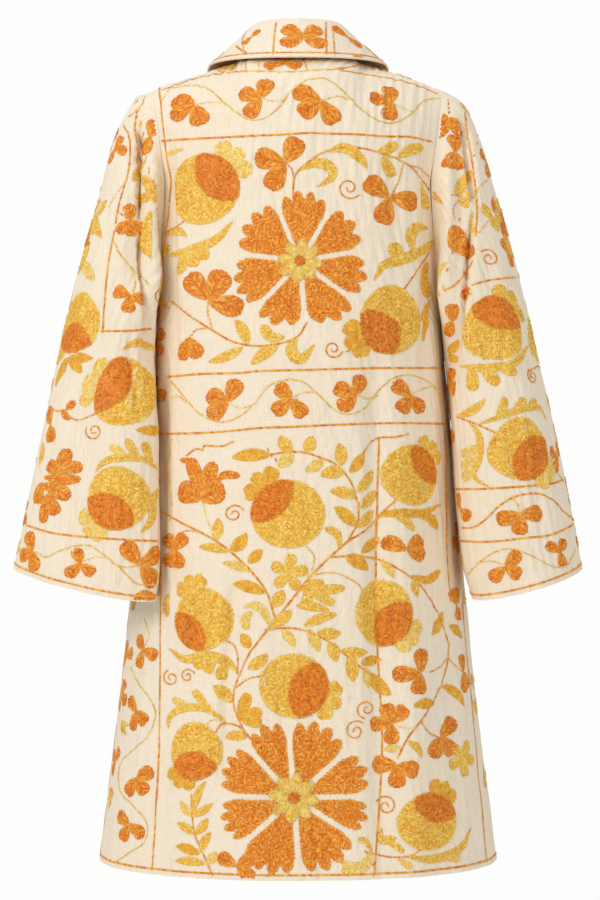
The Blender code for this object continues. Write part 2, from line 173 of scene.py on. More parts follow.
# The collar from centre front (0) round the side (0.5) to centre back (1): height of the stand, how far
# it leans to the neck, length of the fall, and the fall's slope below the level
COLLAR_ROWS = table(
    "round stand lean fall slope",
    (0.00, 0.012, 0.002, 0.066, 56.0),
    (0.25, 0.028, 0.006, 0.066, 28.0),
    (0.50, 0.043, 0.024, 0.070, 41.0),
    (0.75, 0.049, 0.022, 0.067, 50.0),
    (1.00, 0.050, 0.016, 0.065, 55.0),
)
ROLL_RADIUS = 0.0040
COLLAR_SPREAD = 0.86


# Points up and across each piece of cloth, evenly spaced
LATTICE = {
    "back": (138, 191),
    "front_left": (120, 83),
    "front_right": (120, 83),
    "sleeve_left": (84, 185),
    "sleeve_right": (84, 185),
    "collar": (34, 145),
}
# The cloth's thickness where it shows at an edge
SHELL = 0.0016
SHELL_COLLAR = 0.0022

# Small creases, in the same terms as the folds above
CREASES = table(
    FOLD,
    (1, -0.164, -0.090, -0.160, -0.440, 0.000, 0.0050, 0.0070),
    (1, 0.162, -0.090, 0.158, -0.430, 0.000, 0.0060, 0.0070),
    (1, -0.096, -0.560, -0.112, -0.830, 0.003, 0.0030, 0.007),
    (1, -0.118, -0.620, -0.128, -0.980, 0.000, 0.0022, 0.008),
    (1, 0.080, -0.640, 0.096, -0.900, 0.003, 0.0030, 0.006),
    (1, 0.020, -0.740, 0.012, -1.040, 0.000, 0.0020, 0.009),
    (1, 0.168, -0.300, 0.172, -0.640, 0.000, 0.0035, 0.008),
    (1, 0.120, -0.130, 0.128, -0.380, 0.000, 0.0016, 0.009),
    (1, -0.120, -0.100, -0.124, -0.330, 0.000, 0.0018, 0.009),
    (1, -0.182, -0.480, -0.205, -1.040, 0.000, 0.0030, 0.010),
    (-1, 0.105, -0.500, 0.112, -0.900, 0.004, 0.0030, 0.008),
    (-1, 0.160, -0.380, 0.180, -0.900, 0.000, 0.0030, 0.010),
    (-1, -0.092, -0.450, -0.100, -0.850, 0.003, 0.0030, 0.008),
    (-1, -0.165, -0.350, -0.180, -0.850, 0.000, 0.0030, 0.010),
)
LEFT_CREASES = table(
    FOLD,
    (1, 0.207, -0.062, 0.1995, -0.215, 0.000, 0.0135, 0.0044),
    (1, 0.1995, -0.200, 0.185, -0.410, 0.001, 0.0145, 0.0046),
    (1, 0.187, -0.070, 0.180, -0.460, 0.002, -0.0100, 0.0080),
    (1, 0.230, -0.250, 0.214, -0.440, 0.004, 0.0030, 0.008),
    (1, 0.216, -0.330, 0.196, -0.470, 0.004, 0.0045, 0.006),
    (1, 0.252, -0.300, 0.262, -0.420, 0.004, 0.0030, 0.007),
    (1, 0.286, -0.420, 0.300, -0.640, 0.000, 0.0025, 0.009),
    (1, 0.236, -0.460, 0.244, -0.690, 0.000, 0.0022, 0.009),
    (-1, 0.206, -0.080, 0.200, -0.380, 0.005, 0.0050, 0.007),
    (-1, 0.226, -0.230, 0.214, -0.440, 0.005, 0.0035, 0.008),
    (-1, 0.288, -0.400, 0.304, -0.640, 0.000, 0.0025, 0.010),
)
RIGHT_CREASES = table(
    FOLD,
    (1, 0.213, -0.062, 0.228, -0.190, 0.000, 0.0130, 0.0046),
    (1, 0.228, -0.180, 0.206, -0.420, -0.006, 0.0135, 0.0050),
    (1, 0.192, -0.070, 0.186, -0.460, 0.003, -0.0100, 0.0090),
    (1, 0.200, -0.250, 0.194, -0.480, 0.002, 0.0095, 0.0075),
    (1, 0.262, -0.330, 0.250, -0.430, 0.004, 0.0030, 0.007),
    (1, 0.296, -0.420, 0.310, -0.640, 0.000, 0.0025, 0.009),
    (1, 0.246, -0.440, 0.250, -0.690, 0.000, 0.0024, 0.009),
    (-1, 0.206, -0.080, 0.200, -0.380, 0.005, 0.0050, 0.007),
    (-1, 0.228, -0.230, 0.216, -0.440, 0.005, 0.0035, 0.008),
    (-1, 0.292, -0.400, 0.308, -0.640, 0.000, 0.0025, 0.010),
)
# How far each sleeve's inner side hangs in towards the body, for the left one (1) and the right one (-1),
# and between which heights
HANG_IN = {1: 0.0040, -1: 0.0085}
HANG_TOP = -0.30
HANG_END = -0.70
# The loose fold below the armhole that laps over the back
LAP_HEIGHT = -0.315
LAP_REACH = 0.055
LAP_OUT = 0.0080
LAP_BACK = 0.0090
# Puckers pull the cloth in uneven ripples along its length: ripple spacing and depth, and how far one runs
PUCKER_SPACING = 0.0135
PUCKER_DEPTH = 0.00095
PUCKER_RUN = 0.16
# Broad uneven swells of the hanging cloth
SWELL_SPACING = 0.085
SWELL_DEPTH = 0.0013
# A turned edge is a little thicker than the cloth beside it
EDGE_TURN = 0.0075
EDGE_RISE = 0.0006


# The needlework's plan. Places are pixels of the photograph, read off it, and turns are clockwise from
# straight up. Sizes are in pixels too, at 1.3 mm to a pixel. Tones are 0 orange, 1 rust, 2 gold, 3 amber
# and 4 straw. A fruit's blush is a second disc that overlaps it from one side.
BLUSH_REACH = 0.95
FRUITS = table(
    "px py wide high crown crown_tone blush offset",
    (203, 189, 35, 35, 48, 4, 52, 0.92),
    (394, 319, 31, 33, 238, 3, 228, 0.95),
    (288, 514, 36, 33, 318, 3, 312, 1.07),
    (414, 475, 29, 30, 44, 2, 55, 1.05),
    (382, 613, 29, 32, 130, 4, 132, 0.85),
    (201, 619, 29, 31, 338, 2, 226, 1.05),
    (294, 686, 33, 31, 113, 2, 108, 0.80),
    (194, 751, 25, 28, 205, 3, 180, 0.95),
    (430, 822, 29, 28, 32, 3, 26, 0.95),
    (77, 322, 27, 31, -1, 2, 190, 0.95),
    (128, 391, 31, 33, 296, 4, 302, 0.90),
    (118, 498, 31, 31, 226, 4, 212, 0.90),
    (494, 328, 29, 32, 30, 2, 14, 0.95),
    (520, 449, 31, 31, 124, 4, 124, 0.85),
)

# Large flowers: the gaps between their petals, as turns
ROSETTES = table(
    "px py radius gaps",
    (300, 261, 67, (-24, 32, 80, 128, 176, 220, 277)),
    (294, 798, 75, (-5, 49, 89, 123, 176, 227, 271, 317)),
)

# Clovers: lobes that spread from the place where their stem ends, each lobe a turn
CLOVERS = table(
    "px py size lobes",
    (195, 105, 24, (295, 240, 157)),
    (261, 98, 21, (12, 290, 212)),
    (321, 101, 24, (297, 234, 149)),
    (392, 102, 19, (4, 284, 199)),
    (449, 117, 21, (291, 218, 150)),
    (285, 163, 27, (29, 283, 211)),
    (390, 197, 26, (304, 99, 199)),
    (208, 300, 28, (322, 30, 109)),
    (189, 338, 21, (208, 152)),
    (228, 402, 22, (22, 292, 231)),
    (292, 399, 20, (312, 232, 146)),
    (356, 395, 20, (18, 293, 227)),
    (411, 396, 20, (308, 216, 139)),
    (174, 550, 18, (325, 38, 156, 206)),
    (407, 550, 20, (298, 58, 108)),
    (420, 673, 21, (8, 270, 188)),
    (463, 672, 18, (4, 182, 150)),
    (441, 737, 22, (52, 210, 140)),
    (391, 723, 19, (345, 44, 178, 266)),
    (397, 765, 22, (272, 108, 182)),
    (237, 866, 18, (297, 60, 128)),
    (144, 650, 17, (318, 108, 198)),
    (137, 711, 18, (303, 128, 198)),
    (136, 778, 19, (63, 212, 138)),
    (129, 824, 18, (292, 118, 206)),
    (115, 149, 14, (90, 16, 205)),
    (131, 221, 16, (358, 238, 183, 120)),
    (130, 296, 17, (297, 100, 188)),
    (50, 424, 19, (332, 165)),
    (32, 551, 18, (335, 248, 166)),
    (80, 564, 15, (345, 225, 128)),
    (141, 565, 24, (322, 62, 142)),
    (150, 136, 19, (6, 198)),
    (455, 152, 18, (12, 205, 158)),
    (449, 248, 26, (36, 76)),
    (460, 509, 16, (345, 128)),
    (520, 514, 21, (254, 88, 182)),
    (505, 567, 18, (46, 226, 120)),
    (560, 552, 14, (303, 28, 168)),
    (303, 36, 20, (308, 52, 232, 128)),
    (251, 37, 10, (25, 205)),
    (348, 37, 15, (322, 142)),
    (284, 62, 15, (0, 250, 112)),
    (456, 605, 16, (20, 340, 170)),
    (145, 590, 15, (205, 150)),
    (508, 253, 14, (342, 160)),
    (452, 321, 17, (12, 205)),
)

# Leaves run from their foot to their tip; bend is a share of the length, to the right of the way they point
LEAVES = table(
    "x0 y0 x1 y1 width bend tone",
    (247, 344, 235, 320, 12, 0.10, 2),
    (243, 347, 208, 362, 10, -0.06, 2),
    (278, 346, 251, 365, 12, 0.06, 2),
    (270, 455, 231, 458, 13, 0.04, 3),
    (292, 450, 280, 436, 13, -0.10, 2),
    (292, 452, 278, 467, 13, -0.06, 4),
    (306, 452, 312, 436, 13, 0.05, 2),
    (323, 460, 305, 471, 11, -0.05, 4),
    (341, 465, 339, 443, 12, 0.05, 2),
    (345, 472, 320, 475, 13, 0.05, 2),
    (350, 472, 364, 452, 11, 0.05, 3),
    (358, 492, 372, 470, 10, 0.05, 2),
    (357, 497, 330, 491, 12, 0.05, 2),
    (361, 508, 375, 490, 10, 0.05, 2),
    (355, 526, 334, 507, 13, 0.06, 3),
    (357, 527, 373, 510, 10, 0.05, 2),
    (362, 552, 379, 536, 10, 0.06, 3),
    (346, 557, 369, 570, 14, -0.06, 3),
    (381, 560, 394, 578, 9, -0.05, 4),
    (414, 578, 418, 597, 9, 0.04, 2),
    (215, 540, 218, 518, 11, 0.05, 2),
    (231, 550, 246, 533, 13, 0.10, 3),
    (228, 552, 198, 547, 9, 0.06, 2),
    (248, 562, 262, 549, 11, 0.05, 3),
    (250, 571, 222, 563, 9, 0.05, 4),
    (264, 593, 233, 584, 12, 0.06, 3),
    (273, 606, 283, 590, 13, 0.05, 2),
    (270, 626, 292, 610, 12, 0.05, 2),
    (304, 626, 338, 614, 10, -0.05, 2),
    (296, 606, 330, 611, 9, -0.05, 2),
    (282, 630, 295, 647, 10, -0.05, 4),
    (308, 630, 319, 652, 11, -0.05, 4),
    (317, 633, 341, 633, 12, 0.04, 2),
    (330, 642, 336, 662, 12, -0.04, 2),
    (341, 651, 368, 652, 11, 0.04, 2),
    (350, 656, 353, 682, 14, -0.05, 2),
    (362, 664, 382, 660, 10, -0.08, 3),
    (365, 668, 369, 688, 10, -0.05, 4),
    (371, 674, 391, 695, 14, 0.05, 3),
    (372, 674, 380, 692, 7, 0.00, 3),
    (443, 612, 432, 635, 11, -0.06, 3),
    (449, 626, 462, 638, 10, -0.05, 3),
    (443, 686, 464, 707, 10, -0.14, 3),
    (434, 704, 413, 706, 11, 0.06, 3),
    (408, 742, 422, 758, 8, -0.14, 2),
    (400, 748, 384, 750, 8, 0.05, 4),
    (248, 668, 268, 654, 12, 0.06, 2),
    (249, 648, 241, 634, 11, 0.05, 3),
    (232, 702, 213, 686, 13, 0.05, 2),
    (246, 738, 225, 738, 10, 0.12, 2),
    (192, 816, 206, 781, 9, -0.08, 2),
    (192, 816, 213, 803, 8, 0.05, 2),
    (191, 816, 181, 801, 8, -0.05, 4),
    (194, 834, 177, 823, 9, 0.05, 2),
    (195, 834, 208, 818, 9, 0.05, 2),
    (200, 852, 211, 832, 9, -0.05, 2),
    (199, 854, 176, 846, 10, 0.05, 3),
    (205, 864, 175, 861, 9, 0.05, 2),
    (207, 862, 216, 852, 10, 0.10, 4),
    (95, 201, 105, 199, 9, -0.10, 2),
    (96, 216, 106, 200, 11, 0.05, 2),
    (95, 216, 102, 238, 10, 0.05, 2),
    (84, 262, 88, 242, 11, 0.05, 2),
    (84, 262, 95, 280, 12, 0.05, 4),
    (83, 262, 78, 280, 7, 0.05, 3),
    (70, 358, 93, 358, 11, 0.05, 3),
    (70, 360, 81, 373, 11, -0.05, 3),
    (69, 358, 55, 386, 12, 0.05, 3),
    (66, 408, 75, 401, 9, 0.05, 0),
    (62, 410, 70, 420, 7, 0.05, 0),
    (39, 464, 43, 442, 7, 0.05, 2),
    (160, 430, 136, 430, 11, 0.05, 3),
    (156, 352, 122, 350, 9, 0.22, 2),
    (167, 236, 187, 237, 9, -0.22, 2),
    (170, 246, 158, 256, 9, -0.10, 2),
    (165, 157, 183, 150, 5, -0.10, 4),
    (143, 176, 156, 204, 9, -0.04, 2),
    (151, 210, 151, 258, 13, 0.10, 2),
    (158, 260, 150, 281, 8, 0.05, 4),
    (454, 193, 471, 170, 12, 0.06, 2),
    (455, 193, 466, 188, 5, 0.00, 3),
    (460, 197, 475, 197, 8, -0.10, 4),
    (459, 200, 468, 208, 8, -0.10, 2),
    (472, 212, 475, 236, 6, 0.05, 4),
    (491, 217, 483, 203, 11, -0.05, 2),
    (492, 215, 499, 232, 10, 0.05, 2),
    (494, 212, 493, 196, 8, 0.05, 0),
    (440, 285, 448, 262, 9, -0.05, 4),
    (463, 299, 468, 287, 8, 0.05, 0),
    (447, 352, 458, 340, 9, 0.10, 3),
    (448, 356, 457, 362, 9, -0.05, 3),
    (458, 415, 486, 398, 9, 0.10, 2),
    (458, 372, 462, 379, 7, 0.00, 2),
    (354, 58, 366, 60, 9, -0.20, 3),
    (431, 300, 423, 342, 7, 0.12, 3),
    (345, 352, 372, 340, 3, 0.00, 3),
)

# Fronds run along a line of their own points
FRONDS = table(
    "tone width points",
    (2, 11, ((300, 170), (316, 163), (330, 167), (332, 177), (317, 187))),
    (2, 11, ((328, 151), (345, 148), (360, 158), (367, 169))),
    (2, 10, ((378, 152), (388, 149), (397, 143))),
    (2, 11, ((398, 157), (411, 150), (424, 147))),
    (2, 11, ((384, 156), (388, 167), (393, 177))),
    (2, 8, ((421, 180), (423, 196), (427, 210))),
    (2, 5, ((429, 188), (436, 197), (443, 203))),
    (3, 8, ((427, 262), (424, 280), (428, 298))),
    (2, 11, ((284, 337), (271, 337), (262, 325))),
    (2, 12, ((297, 337), (291, 350), (301, 359), (315, 344))),
    (2, 8, ((340, 548), (337, 534), (325, 528))),
    (3, 9, ((412, 576), (428, 580), (441, 571))),
    (2, 10, ((168, 256), (190, 250), (215, 240), (233, 221))),
    (2, 12, ((186, 251), (183, 262), (178, 273))),
    (2, 14, ((194, 250), (193, 258), (192, 267))),
    (2, 13, ((203, 246), (203, 253), (203, 260))),
    (2, 11, ((433, 240), (420, 252), (400, 260), (384, 265), (374, 280))),
    (2, 13, ((402, 262), (396, 252), (393, 243))),
    (2, 12, ((414, 250), (411, 237), (418, 227), (428, 229))),
    (3, 9, ((377, 516), (396, 513), (422, 513), (442, 504))),
    (3, 11, ((418, 515), (430, 518), (439, 528))),
    (2, 8, ((396, 516), (406, 521), (415, 530))),
    (2, 11, ((239, 672), (226, 661), (205, 656), (185, 659), (168, 648))),
    (2, 11, ((228, 664), (222, 671), (222, 680))),
    (2, 12, ((214, 661), (209, 667), (206, 673))),
    (2, 10, ((201, 659), (198, 664), (195, 668))),
    (2, 8, ((226, 721), (205, 709), (185, 708), (170, 716), (168, 729))),
    (2, 8, ((211, 711), (201, 700), (193, 690))),
    (4, 8, ((192, 708), (182, 704), (172, 699))),
    (3, 12, ((240, 722), (243, 707), (249, 693))),
    (3, 12, ((241, 716), (252, 714), (262, 712))),
    (3, 11, ((243, 721), (253, 722), (262, 723))),
    (4, 9, ((270, 626), (264, 612), (254, 605), (243, 608))),
    (4, 9, ((252, 612), (245, 619), (247, 630))),
    (2, 9, ((406, 857), (435, 859), (460, 848), (472, 827))),
    (4, 7, ((398, 860), (406, 864), (412, 868))),
    (4, 8, ((446, 858), (453, 858), (460, 859))),
    (4, 12, ((371, 850), (366, 864), (352, 868), (338, 858))),
    (4, 10, ((356, 868), (348, 870), (342, 868))),
    (2, 6, ((372, 851), (366, 842), (358, 839))),
    (2, 8, ((381, 828), (381, 840), (396, 838))),
    (2, 6, ((386, 842), (396, 846), (404, 852))),
    (0, 15, ((56, 474), (63, 462), (69, 449))),
    (0, 14, ((60, 473), (53, 468), (47, 463))),
    (0, 13, ((56, 473), (70, 468), (83, 467))),
    (0, 10, ((43, 477), (62, 480), (81, 479))),
    (0, 15, ((42, 483), (38, 493), (37, 504))),
    (0, 15, ((42, 485), (57, 490), (71, 498))),
    (0, 13, ((46, 494), (44, 508), (42, 523))),
    (0, 14, ((46, 494), (51, 504), (57, 515))),
    (2, 8, ((161, 470), (142, 459), (118, 458), (103, 463), (95, 473))),
    (2, 9, ((139, 457), (132, 449), (127, 439))),
    (2, 9, ((153, 464), (148, 452), (144, 442))),
    (4, 8, ((126, 456), (118, 450), (110, 447))),
    (2, 9, ((161, 486), (154, 500), (152, 520), (141, 533))),
    (2, 9, ((158, 494), (153, 506), (153, 518))),
    (2, 9, ((462, 366), (488, 368), (516, 362), (529, 345))),
    (2, 14, ((470, 368), (472, 379), (472, 391))),
    (2, 13, ((482, 368), (491, 376), (499, 384))),
    (2, 9, ((499, 368), (508, 371), (517, 372))),
    (2, 8, ((476, 425), (500, 417), (525, 408), (540, 408), (547, 419))),
    (2, 9, ((497, 416), (503, 407), (505, 397))),
    (2, 8, ((513, 412), (519, 405), (525, 398))),
    (2, 7, ((525, 409), (531, 404), (537, 400))),
    (2, 8, ((469, 422), (479, 436), (479, 456), (474, 476), (490, 488))),
    (4, 10, ((479, 446), (470, 451), (461, 455))),
    (4, 10, ((478, 458), (469, 463), (461, 467))),
    (4, 10, ((475, 468), (468, 474), (462, 480))),
    (2, 10, ((300, 590), (322, 590), (345, 588))),
    (2, 9, ((308, 592), (322, 598), (335, 604))),
    (2, 12, ((306, 592), (307, 601), (307, 610))),
    (2, 9, ((302, 588), (312, 584), (324, 583))),
    (0, 23, ((201, 499), (190, 493), (178, 490))),
    (0, 24, ((200, 498), (212, 493), (225, 489))),
    (0, 15, ((203, 494), (208, 478), (214, 462))),
    (0, 15, ((200, 492), (196, 476), (189, 458))),
    (0, 6, ((196, 472), (191, 462), (180, 460))),
    (0, 8, ((214, 482), (225, 475), (240, 476))),
    (2, 10, ((405, 640), (412, 633), (422, 627))),
    (2, 6, ((168, 594), (166, 604), (167, 617))),
    (4, 8, ((98, 377), (88, 383), (84, 394))),
)

# Small five-lobed flowers
STARS = table(
    "px py size turn tone",
    (289, 573, 18, 8, 2),
    (463, 758, 18, 32, 2),
)

# Stems, vines and straight lines, each through its own few points
STEMS = table(
    "tone width points",
    (2, 1.0, ((162, 99), (172, 88), (192, 85), (209, 89), (226, 104), (246, 118), (262, 119), (277, 109),
     (290, 92), (306, 80))),
    (2, 1.0, ((306, 80), (326, 79), (345, 92), (362, 110), (380, 121), (396, 122), (412, 113), (425, 100),
     (445, 97))),
    (2, 1.0, ((197, 104), (212, 102), (224, 103))),
    (2, 1.0, ((263, 98), (275, 101), (286, 98))),
    (2, 1.0, ((322, 100), (338, 96), (350, 99))),
    (2, 1.0, ((395, 104), (405, 109), (412, 112))),
    (0, 1.6, ((160, 141), (190, 139), (230, 137), (270, 135), (310, 133))),
    (0, 1.6, ((310, 133), (350, 134), (380, 136), (410, 137), (430, 141), (446, 142))),
    (0, 1.4, ((163, 90), (185, 81), (200, 77), (222, 73), (247, 71))),
    (0, 1.4, ((336, 69), (360, 73), (384, 77), (405, 82), (430, 90), (449, 99))),
    (2, 1.2, ((247, 71), (272, 71), (300, 71), (336, 69))),
    (0, 1.3, ((246, 61), (246, 71))),
    (2, 1.2, ((258, 59), (259, 71))),
    (0, 1.3, ((304, 60), (307, 69))),
    (0, 1.2, ((333, 69), (348, 67), (362, 64))),
    (0, 1.6, ((276, 23), (274, 40), (273, 56))),
    (0, 1.6, ((326, 23), (326, 40), (327, 56))),
    (0, 1.2, ((333, 30), (334, 44), (335, 56))),
    (0, 1.4, ((236, 46), (244, 52), (250, 57))),
    (0, 1.5, ((293, 195), (295, 176), (306, 164), (324, 152), (346, 147), (370, 150), (396, 158))),
    (0, 1.5, ((396, 158), (411, 167), (424, 182), (434, 200), (438, 226))),
    (0, 1.4, ((438, 226), (430, 250), (418, 270), (405, 288))),
    (0, 1.3, ((411, 166), (420, 168), (430, 177), (441, 180))),
    (0, 1.2, ((403, 165), (399, 180), (392, 195))),
    (0, 1.1, ((286, 163), (292, 170), (294, 182))),
    (0, 1.4, ((185, 220), (176, 227), (166, 233))),
    (0, 1.5, ((172, 302), (190, 316), (212, 330), (234, 342), (258, 346), (282, 343), (298, 336),
     (306, 324))),
    (0, 1.4, ((208, 302), (208, 314), (212, 328))),
    (0, 1.2, ((208, 328), (196, 330), (189, 338))),
    (0, 1.6, ((168, 377), (200, 374), (240, 373), (260, 371), (300, 370))),
    (0, 1.6, ((300, 370), (340, 369), (380, 368), (410, 368), (444, 368))),
    (0, 1.6, ((160, 434), (200, 433), (230, 431), (260, 428), (290, 427))),
    (0, 1.6, ((290, 427), (330, 425), (360, 424), (400, 423), (446, 424))),
    (2, 1.0, ((172, 382), (185, 398), (200, 414), (220, 422), (240, 416), (255, 403), (270, 385),
     (290, 379))),
    (2, 1.0, ((290, 379), (305, 383), (320, 396), (335, 410), (350, 414), (366, 407), (380, 389), (394, 378),
     (410, 375), (425, 380), (436, 390), (442, 402))),
    (2, 1.0, ((172, 398), (178, 396), (186, 402))),
    (2, 1.0, ((228, 403), (240, 408), (250, 406))),
    (2, 1.0, ((292, 398), (302, 393), (312, 392))),
    (2, 1.0, ((357, 395), (368, 399), (376, 396))),
    (2, 1.0, ((412, 395), (422, 389), (434, 386))),
    (0, 1.5, ((187, 455), (196, 449), (203, 450), (204, 446), (222, 446), (232, 442))),
    (0, 1.5, ((262, 457), (280, 453), (300, 452), (319, 457), (338, 466), (352, 484), (359, 505))),
    (0, 1.5, ((359, 505), (358, 522), (348, 541))),
    (0, 1.2, ((268, 450), (271, 455), (276, 460))),
    (2, 1.2, ((203, 503), (206, 516), (212, 532))),
    (0, 1.6, ((160, 510), (178, 521), (200, 532), (222, 545), (240, 560), (256, 577), (268, 595),
     (274, 615))),
    (0, 1.2, ((200, 532), (186, 531), (178, 537))),
    (0, 1.4, ((364, 452), (370, 443), (378, 438), (395, 437), (408, 434))),
    (0, 1.6, ((396, 500), (382, 513), (366, 530), (348, 541))),
    (0, 1.7, ((348, 541), (330, 557), (310, 577), (290, 602), (268, 629), (250, 652))),
    (0, 1.6, ((250, 652), (240, 674), (234, 695), (236, 712), (244, 730), (255, 744))),
    (0, 1.5, ((332, 557), (356, 556), (380, 560), (400, 570), (418, 583), (432, 601), (442, 622),
     (449, 645))),
    (0, 1.5, ((449, 645), (446, 672), (438, 694), (424, 716), (408, 738), (398, 757))),
    (2, 1.2, ((306, 546), (314, 556), (312, 570), (306, 580))),
    (2, 1.2, ((310, 577), (322, 573), (336, 573), (348, 578))),
    (0, 1.3, ((348, 578), (358, 584), (364, 592))),
    (0, 1.4, ((222, 639), (234, 645), (238, 656), (238, 672))),
    (0, 1.3, ((237, 687), (248, 679), (262, 676))),
    (0, 1.5, ((266, 630), (290, 628), (312, 633), (332, 644), (352, 660), (372, 676))),
    (0, 1.2, ((431, 672), (441, 667), (449, 656))),
    (0, 1.2, ((461, 671), (455, 666), (449, 659))),
    (0, 1.3, ((214, 735), (222, 724), (238, 726), (246, 736))),
    (2, 1.0, ((224, 721), (212, 720), (204, 727))),
    (0, 1.4, ((191, 796), (192, 816), (195, 835), (203, 854), (212, 874))),
    (0, 1.5, ((366, 852), (390, 857), (410, 856), (420, 850))),
    (0, 1.1, ((370, 862), (375, 868), (374, 874))),
    (2, 1.0, ((400, 727), (412, 728), (422, 722))),
    (0, 1.2, ((421, 722), (428, 732), (438, 737))),
    (0, 1.5, ((379, 440), (377, 500), (376, 560), (377, 640), (382, 734), (379, 810), (374, 874))),
    (0, 1.5, ((161, 560), (160, 640), (159, 740), (156, 810), (152, 868))),
    (2, 1.1, ((172, 440), (168, 470), (172, 500), (170, 518))),
    (0, 1.4, ((445, 426), (446, 480), (447, 560), (450, 600))),
    (0, 1.4, ((463, 604), (468, 660), (474, 724), (480, 791), (487, 860))),
    (2, 1.0, ((145, 620), (149, 634), (145, 648))),
    (2, 1.0, ((130, 668), (140, 685), (152, 702), (155, 718), (148, 736), (134, 749), (121, 762),
     (118, 777))),
    (2, 1.0, ((118, 777), (121, 793), (134, 807), (147, 824), (144, 842), (130, 852), (118, 861))),
    (0, 1.4, ((124, 126), (129, 136), (130, 152), (128, 172), (121, 198), (116, 222))),
    (0, 1.6, ((114, 232), (109, 258), (105, 295), (102, 331))),
    (0, 1.6, ((102, 331), (126, 331), (150, 329))),
    (0, 1.3, ((145, 98), (140, 108), (130, 116))),
    (0, 1.5, ((136, 117), (135, 130), (138, 146), (141, 172))),
    (2, 1.0, ((124, 183), (116, 195), (110, 206))),
    (2, 1.2, ((114, 242), (120, 254), (134, 270), (149, 284))),
    (2, 1.1, ((131, 268), (135, 280), (133, 294))),
    (0, 1.3, ((118, 212), (124, 216), (130, 221))),
    (0, 1.3, ((49, 407), (58, 411), (72, 408))),
    (0, 1.3, ((64, 412), (76, 420), (90, 416), (102, 409))),
    (0, 1.6, ((26, 525), (44, 531), (66, 535), (100, 538), (130, 540), (157, 541))),
    (2, 1.0, ((36, 552), (46, 557), (60, 551), (75, 546), (90, 546), (104, 555), (118, 566), (128, 576),
     (138, 584), (156, 585))),
    (2, 1.0, ((84, 561), (96, 557), (106, 558))),
    (2, 1.0, ((112, 563), (124, 567), (138, 566))),
    (0, 1.5, ((472, 285), (490, 280), (516, 277))),
    (0, 1.4, ((440, 292), (455, 285), (466, 272), (472, 262))),
    (0, 1.5, ((465, 113), (469, 140), (474, 172), (477, 206), (476, 235))),
    (0, 1.3, ((448, 100), (449, 112))),
    (2, 1.0, ((487, 180), (478, 190), (477, 205))),
    (2, 1.0, ((491, 217), (484, 226), (479, 232))),
    (0, 1.2, ((452, 195), (460, 196), (470, 200))),
    (0, 1.2, ((458, 201), (453, 208), (454, 218))),
    (0, 1.2, ((530, 378), (530, 371), (540, 366))),
    (0, 1.6, ((456, 489), (480, 489), (500, 488), (530, 486), (550, 484), (564, 480))),
    (0, 1.6, ((461, 541), (480, 542), (500, 541), (525, 538), (550, 535), (574, 525))),
    (0, 1.4, ((462, 528), (474, 527), (486, 519), (498, 507), (512, 498), (526, 494), (540, 494), (553, 500),
     (564, 511), (572, 517))),
    (2, 1.0, ((468, 574), (480, 562), (495, 552), (512, 549), (530, 555), (545, 563), (556, 567), (567, 565),
     (576, 550))),
    (2, 1.0, ((478, 563), (490, 561), (502, 564))),
    (2, 1.2, ((512, 498), (518, 505), (520, 514))),
    (0, 1.4, ((457, 417), (476, 424), (494, 432))),
    (0, 1.3, ((479, 365), (484, 359))),
    (0, 1.2, ((557, 473), (562, 477))),
)

# Spiral tendrils
CURLS = table(
    "px py size turn hand",
    (349, 188, 11, 130, 1),
    (333, 349, 9, 110, 1),
    (234, 514, 9, 60, -1),
    (171, 678, 8, 330, -1),
    (187, 676, 7, 60, -1),
    (367, 709, 9, 200, 1),
    (356, 731, 10, 40, -1),
    (386, 806, 10, 300, 1),
    (160, 296, 9, 200, 1),
    (94, 431, 9, 290, -1),
    (489, 258, 9, 320, 1),
    (533, 376, 8, 320, -1),
)


def smooth(rows, column, at, key=0):
    """The column's value at a place in the table, on a smooth curve through its rows."""
    places = np.array([row[key] for row in rows], float)
    values = np.array([getattr(row, column) for row in rows], float)
    slopes = np.gradient(values, places)
    i = np.clip(np.searchsorted(places, at) - 1, 0, len(places) - 2)
    span = places[i + 1] - places[i]
    t = np.clip((at - places[i]) / span, 0.0, 1.0)
    rise = values[i + 1] - values[i]
    bend_in = slopes[i] * span - rise
    bend_out = rise - slopes[i + 1] * span
    return values[i] + t * rise + t * (1 - t) * ((1 - t) * bend_in + t * bend_out)


def ease(t):
    """0 to 1 with level ends."""
    t = np.clip(t, 0.0, 1.0)
    return t * t * (3 - 2 * t)


def lengths(points):
    """How far along a line of points each of them lies."""
    return np.concatenate([[0.0], np.cumsum(np.linalg.norm(np.diff(points, axis=0), axis=1))])


def places_at(at, along, points):
    """The places on a line at these lengths along it."""
    return np.stack([np.interp(at, along, column) for column in points.T], axis=-1)


def unit(ways):
    """The same directions, each of length 1."""
    return ways / np.maximum(np.linalg.norm(ways, axis=1, keepdims=True), 1e-9)


def sideways(ways):
    """Flat directions, turned a quarter."""
    return np.stack([-ways[:, 1], ways[:, 0]], axis=1)


def evenly(points, count):
    """count + 1 points along a line of points, evenly spaced by length."""
    along = lengths(points)
    return places_at(np.linspace(0.0, along[-1], count + 1), along, points)


def body_arc(z, side, x_in, x_out, count):
    """Points along the body's section at height z, from x_in near the centre to x_out near the side."""
    half_width = smooth(LEVELS, "half_width", z)
    side_y = smooth(LEVELS, "side_y", z)
    centre_y = smooth(LEVELS, "back_y" if side > 0 else "front_y", z)
    power = 2 / BODY_SQUARE
    first, last = (math.asin(min(1.0, (x / half_width) ** (1 / power))) for x in (x_in, x_out))
    angle = np.linspace(first, last, 90)
    x = half_width * np.sin(angle) ** power
    y = side_y + (centre_y - side_y) * np.maximum(np.cos(angle), 0.0) ** power
    return evenly(np.stack([x, y, np.full_like(x, z)], axis=1), count)


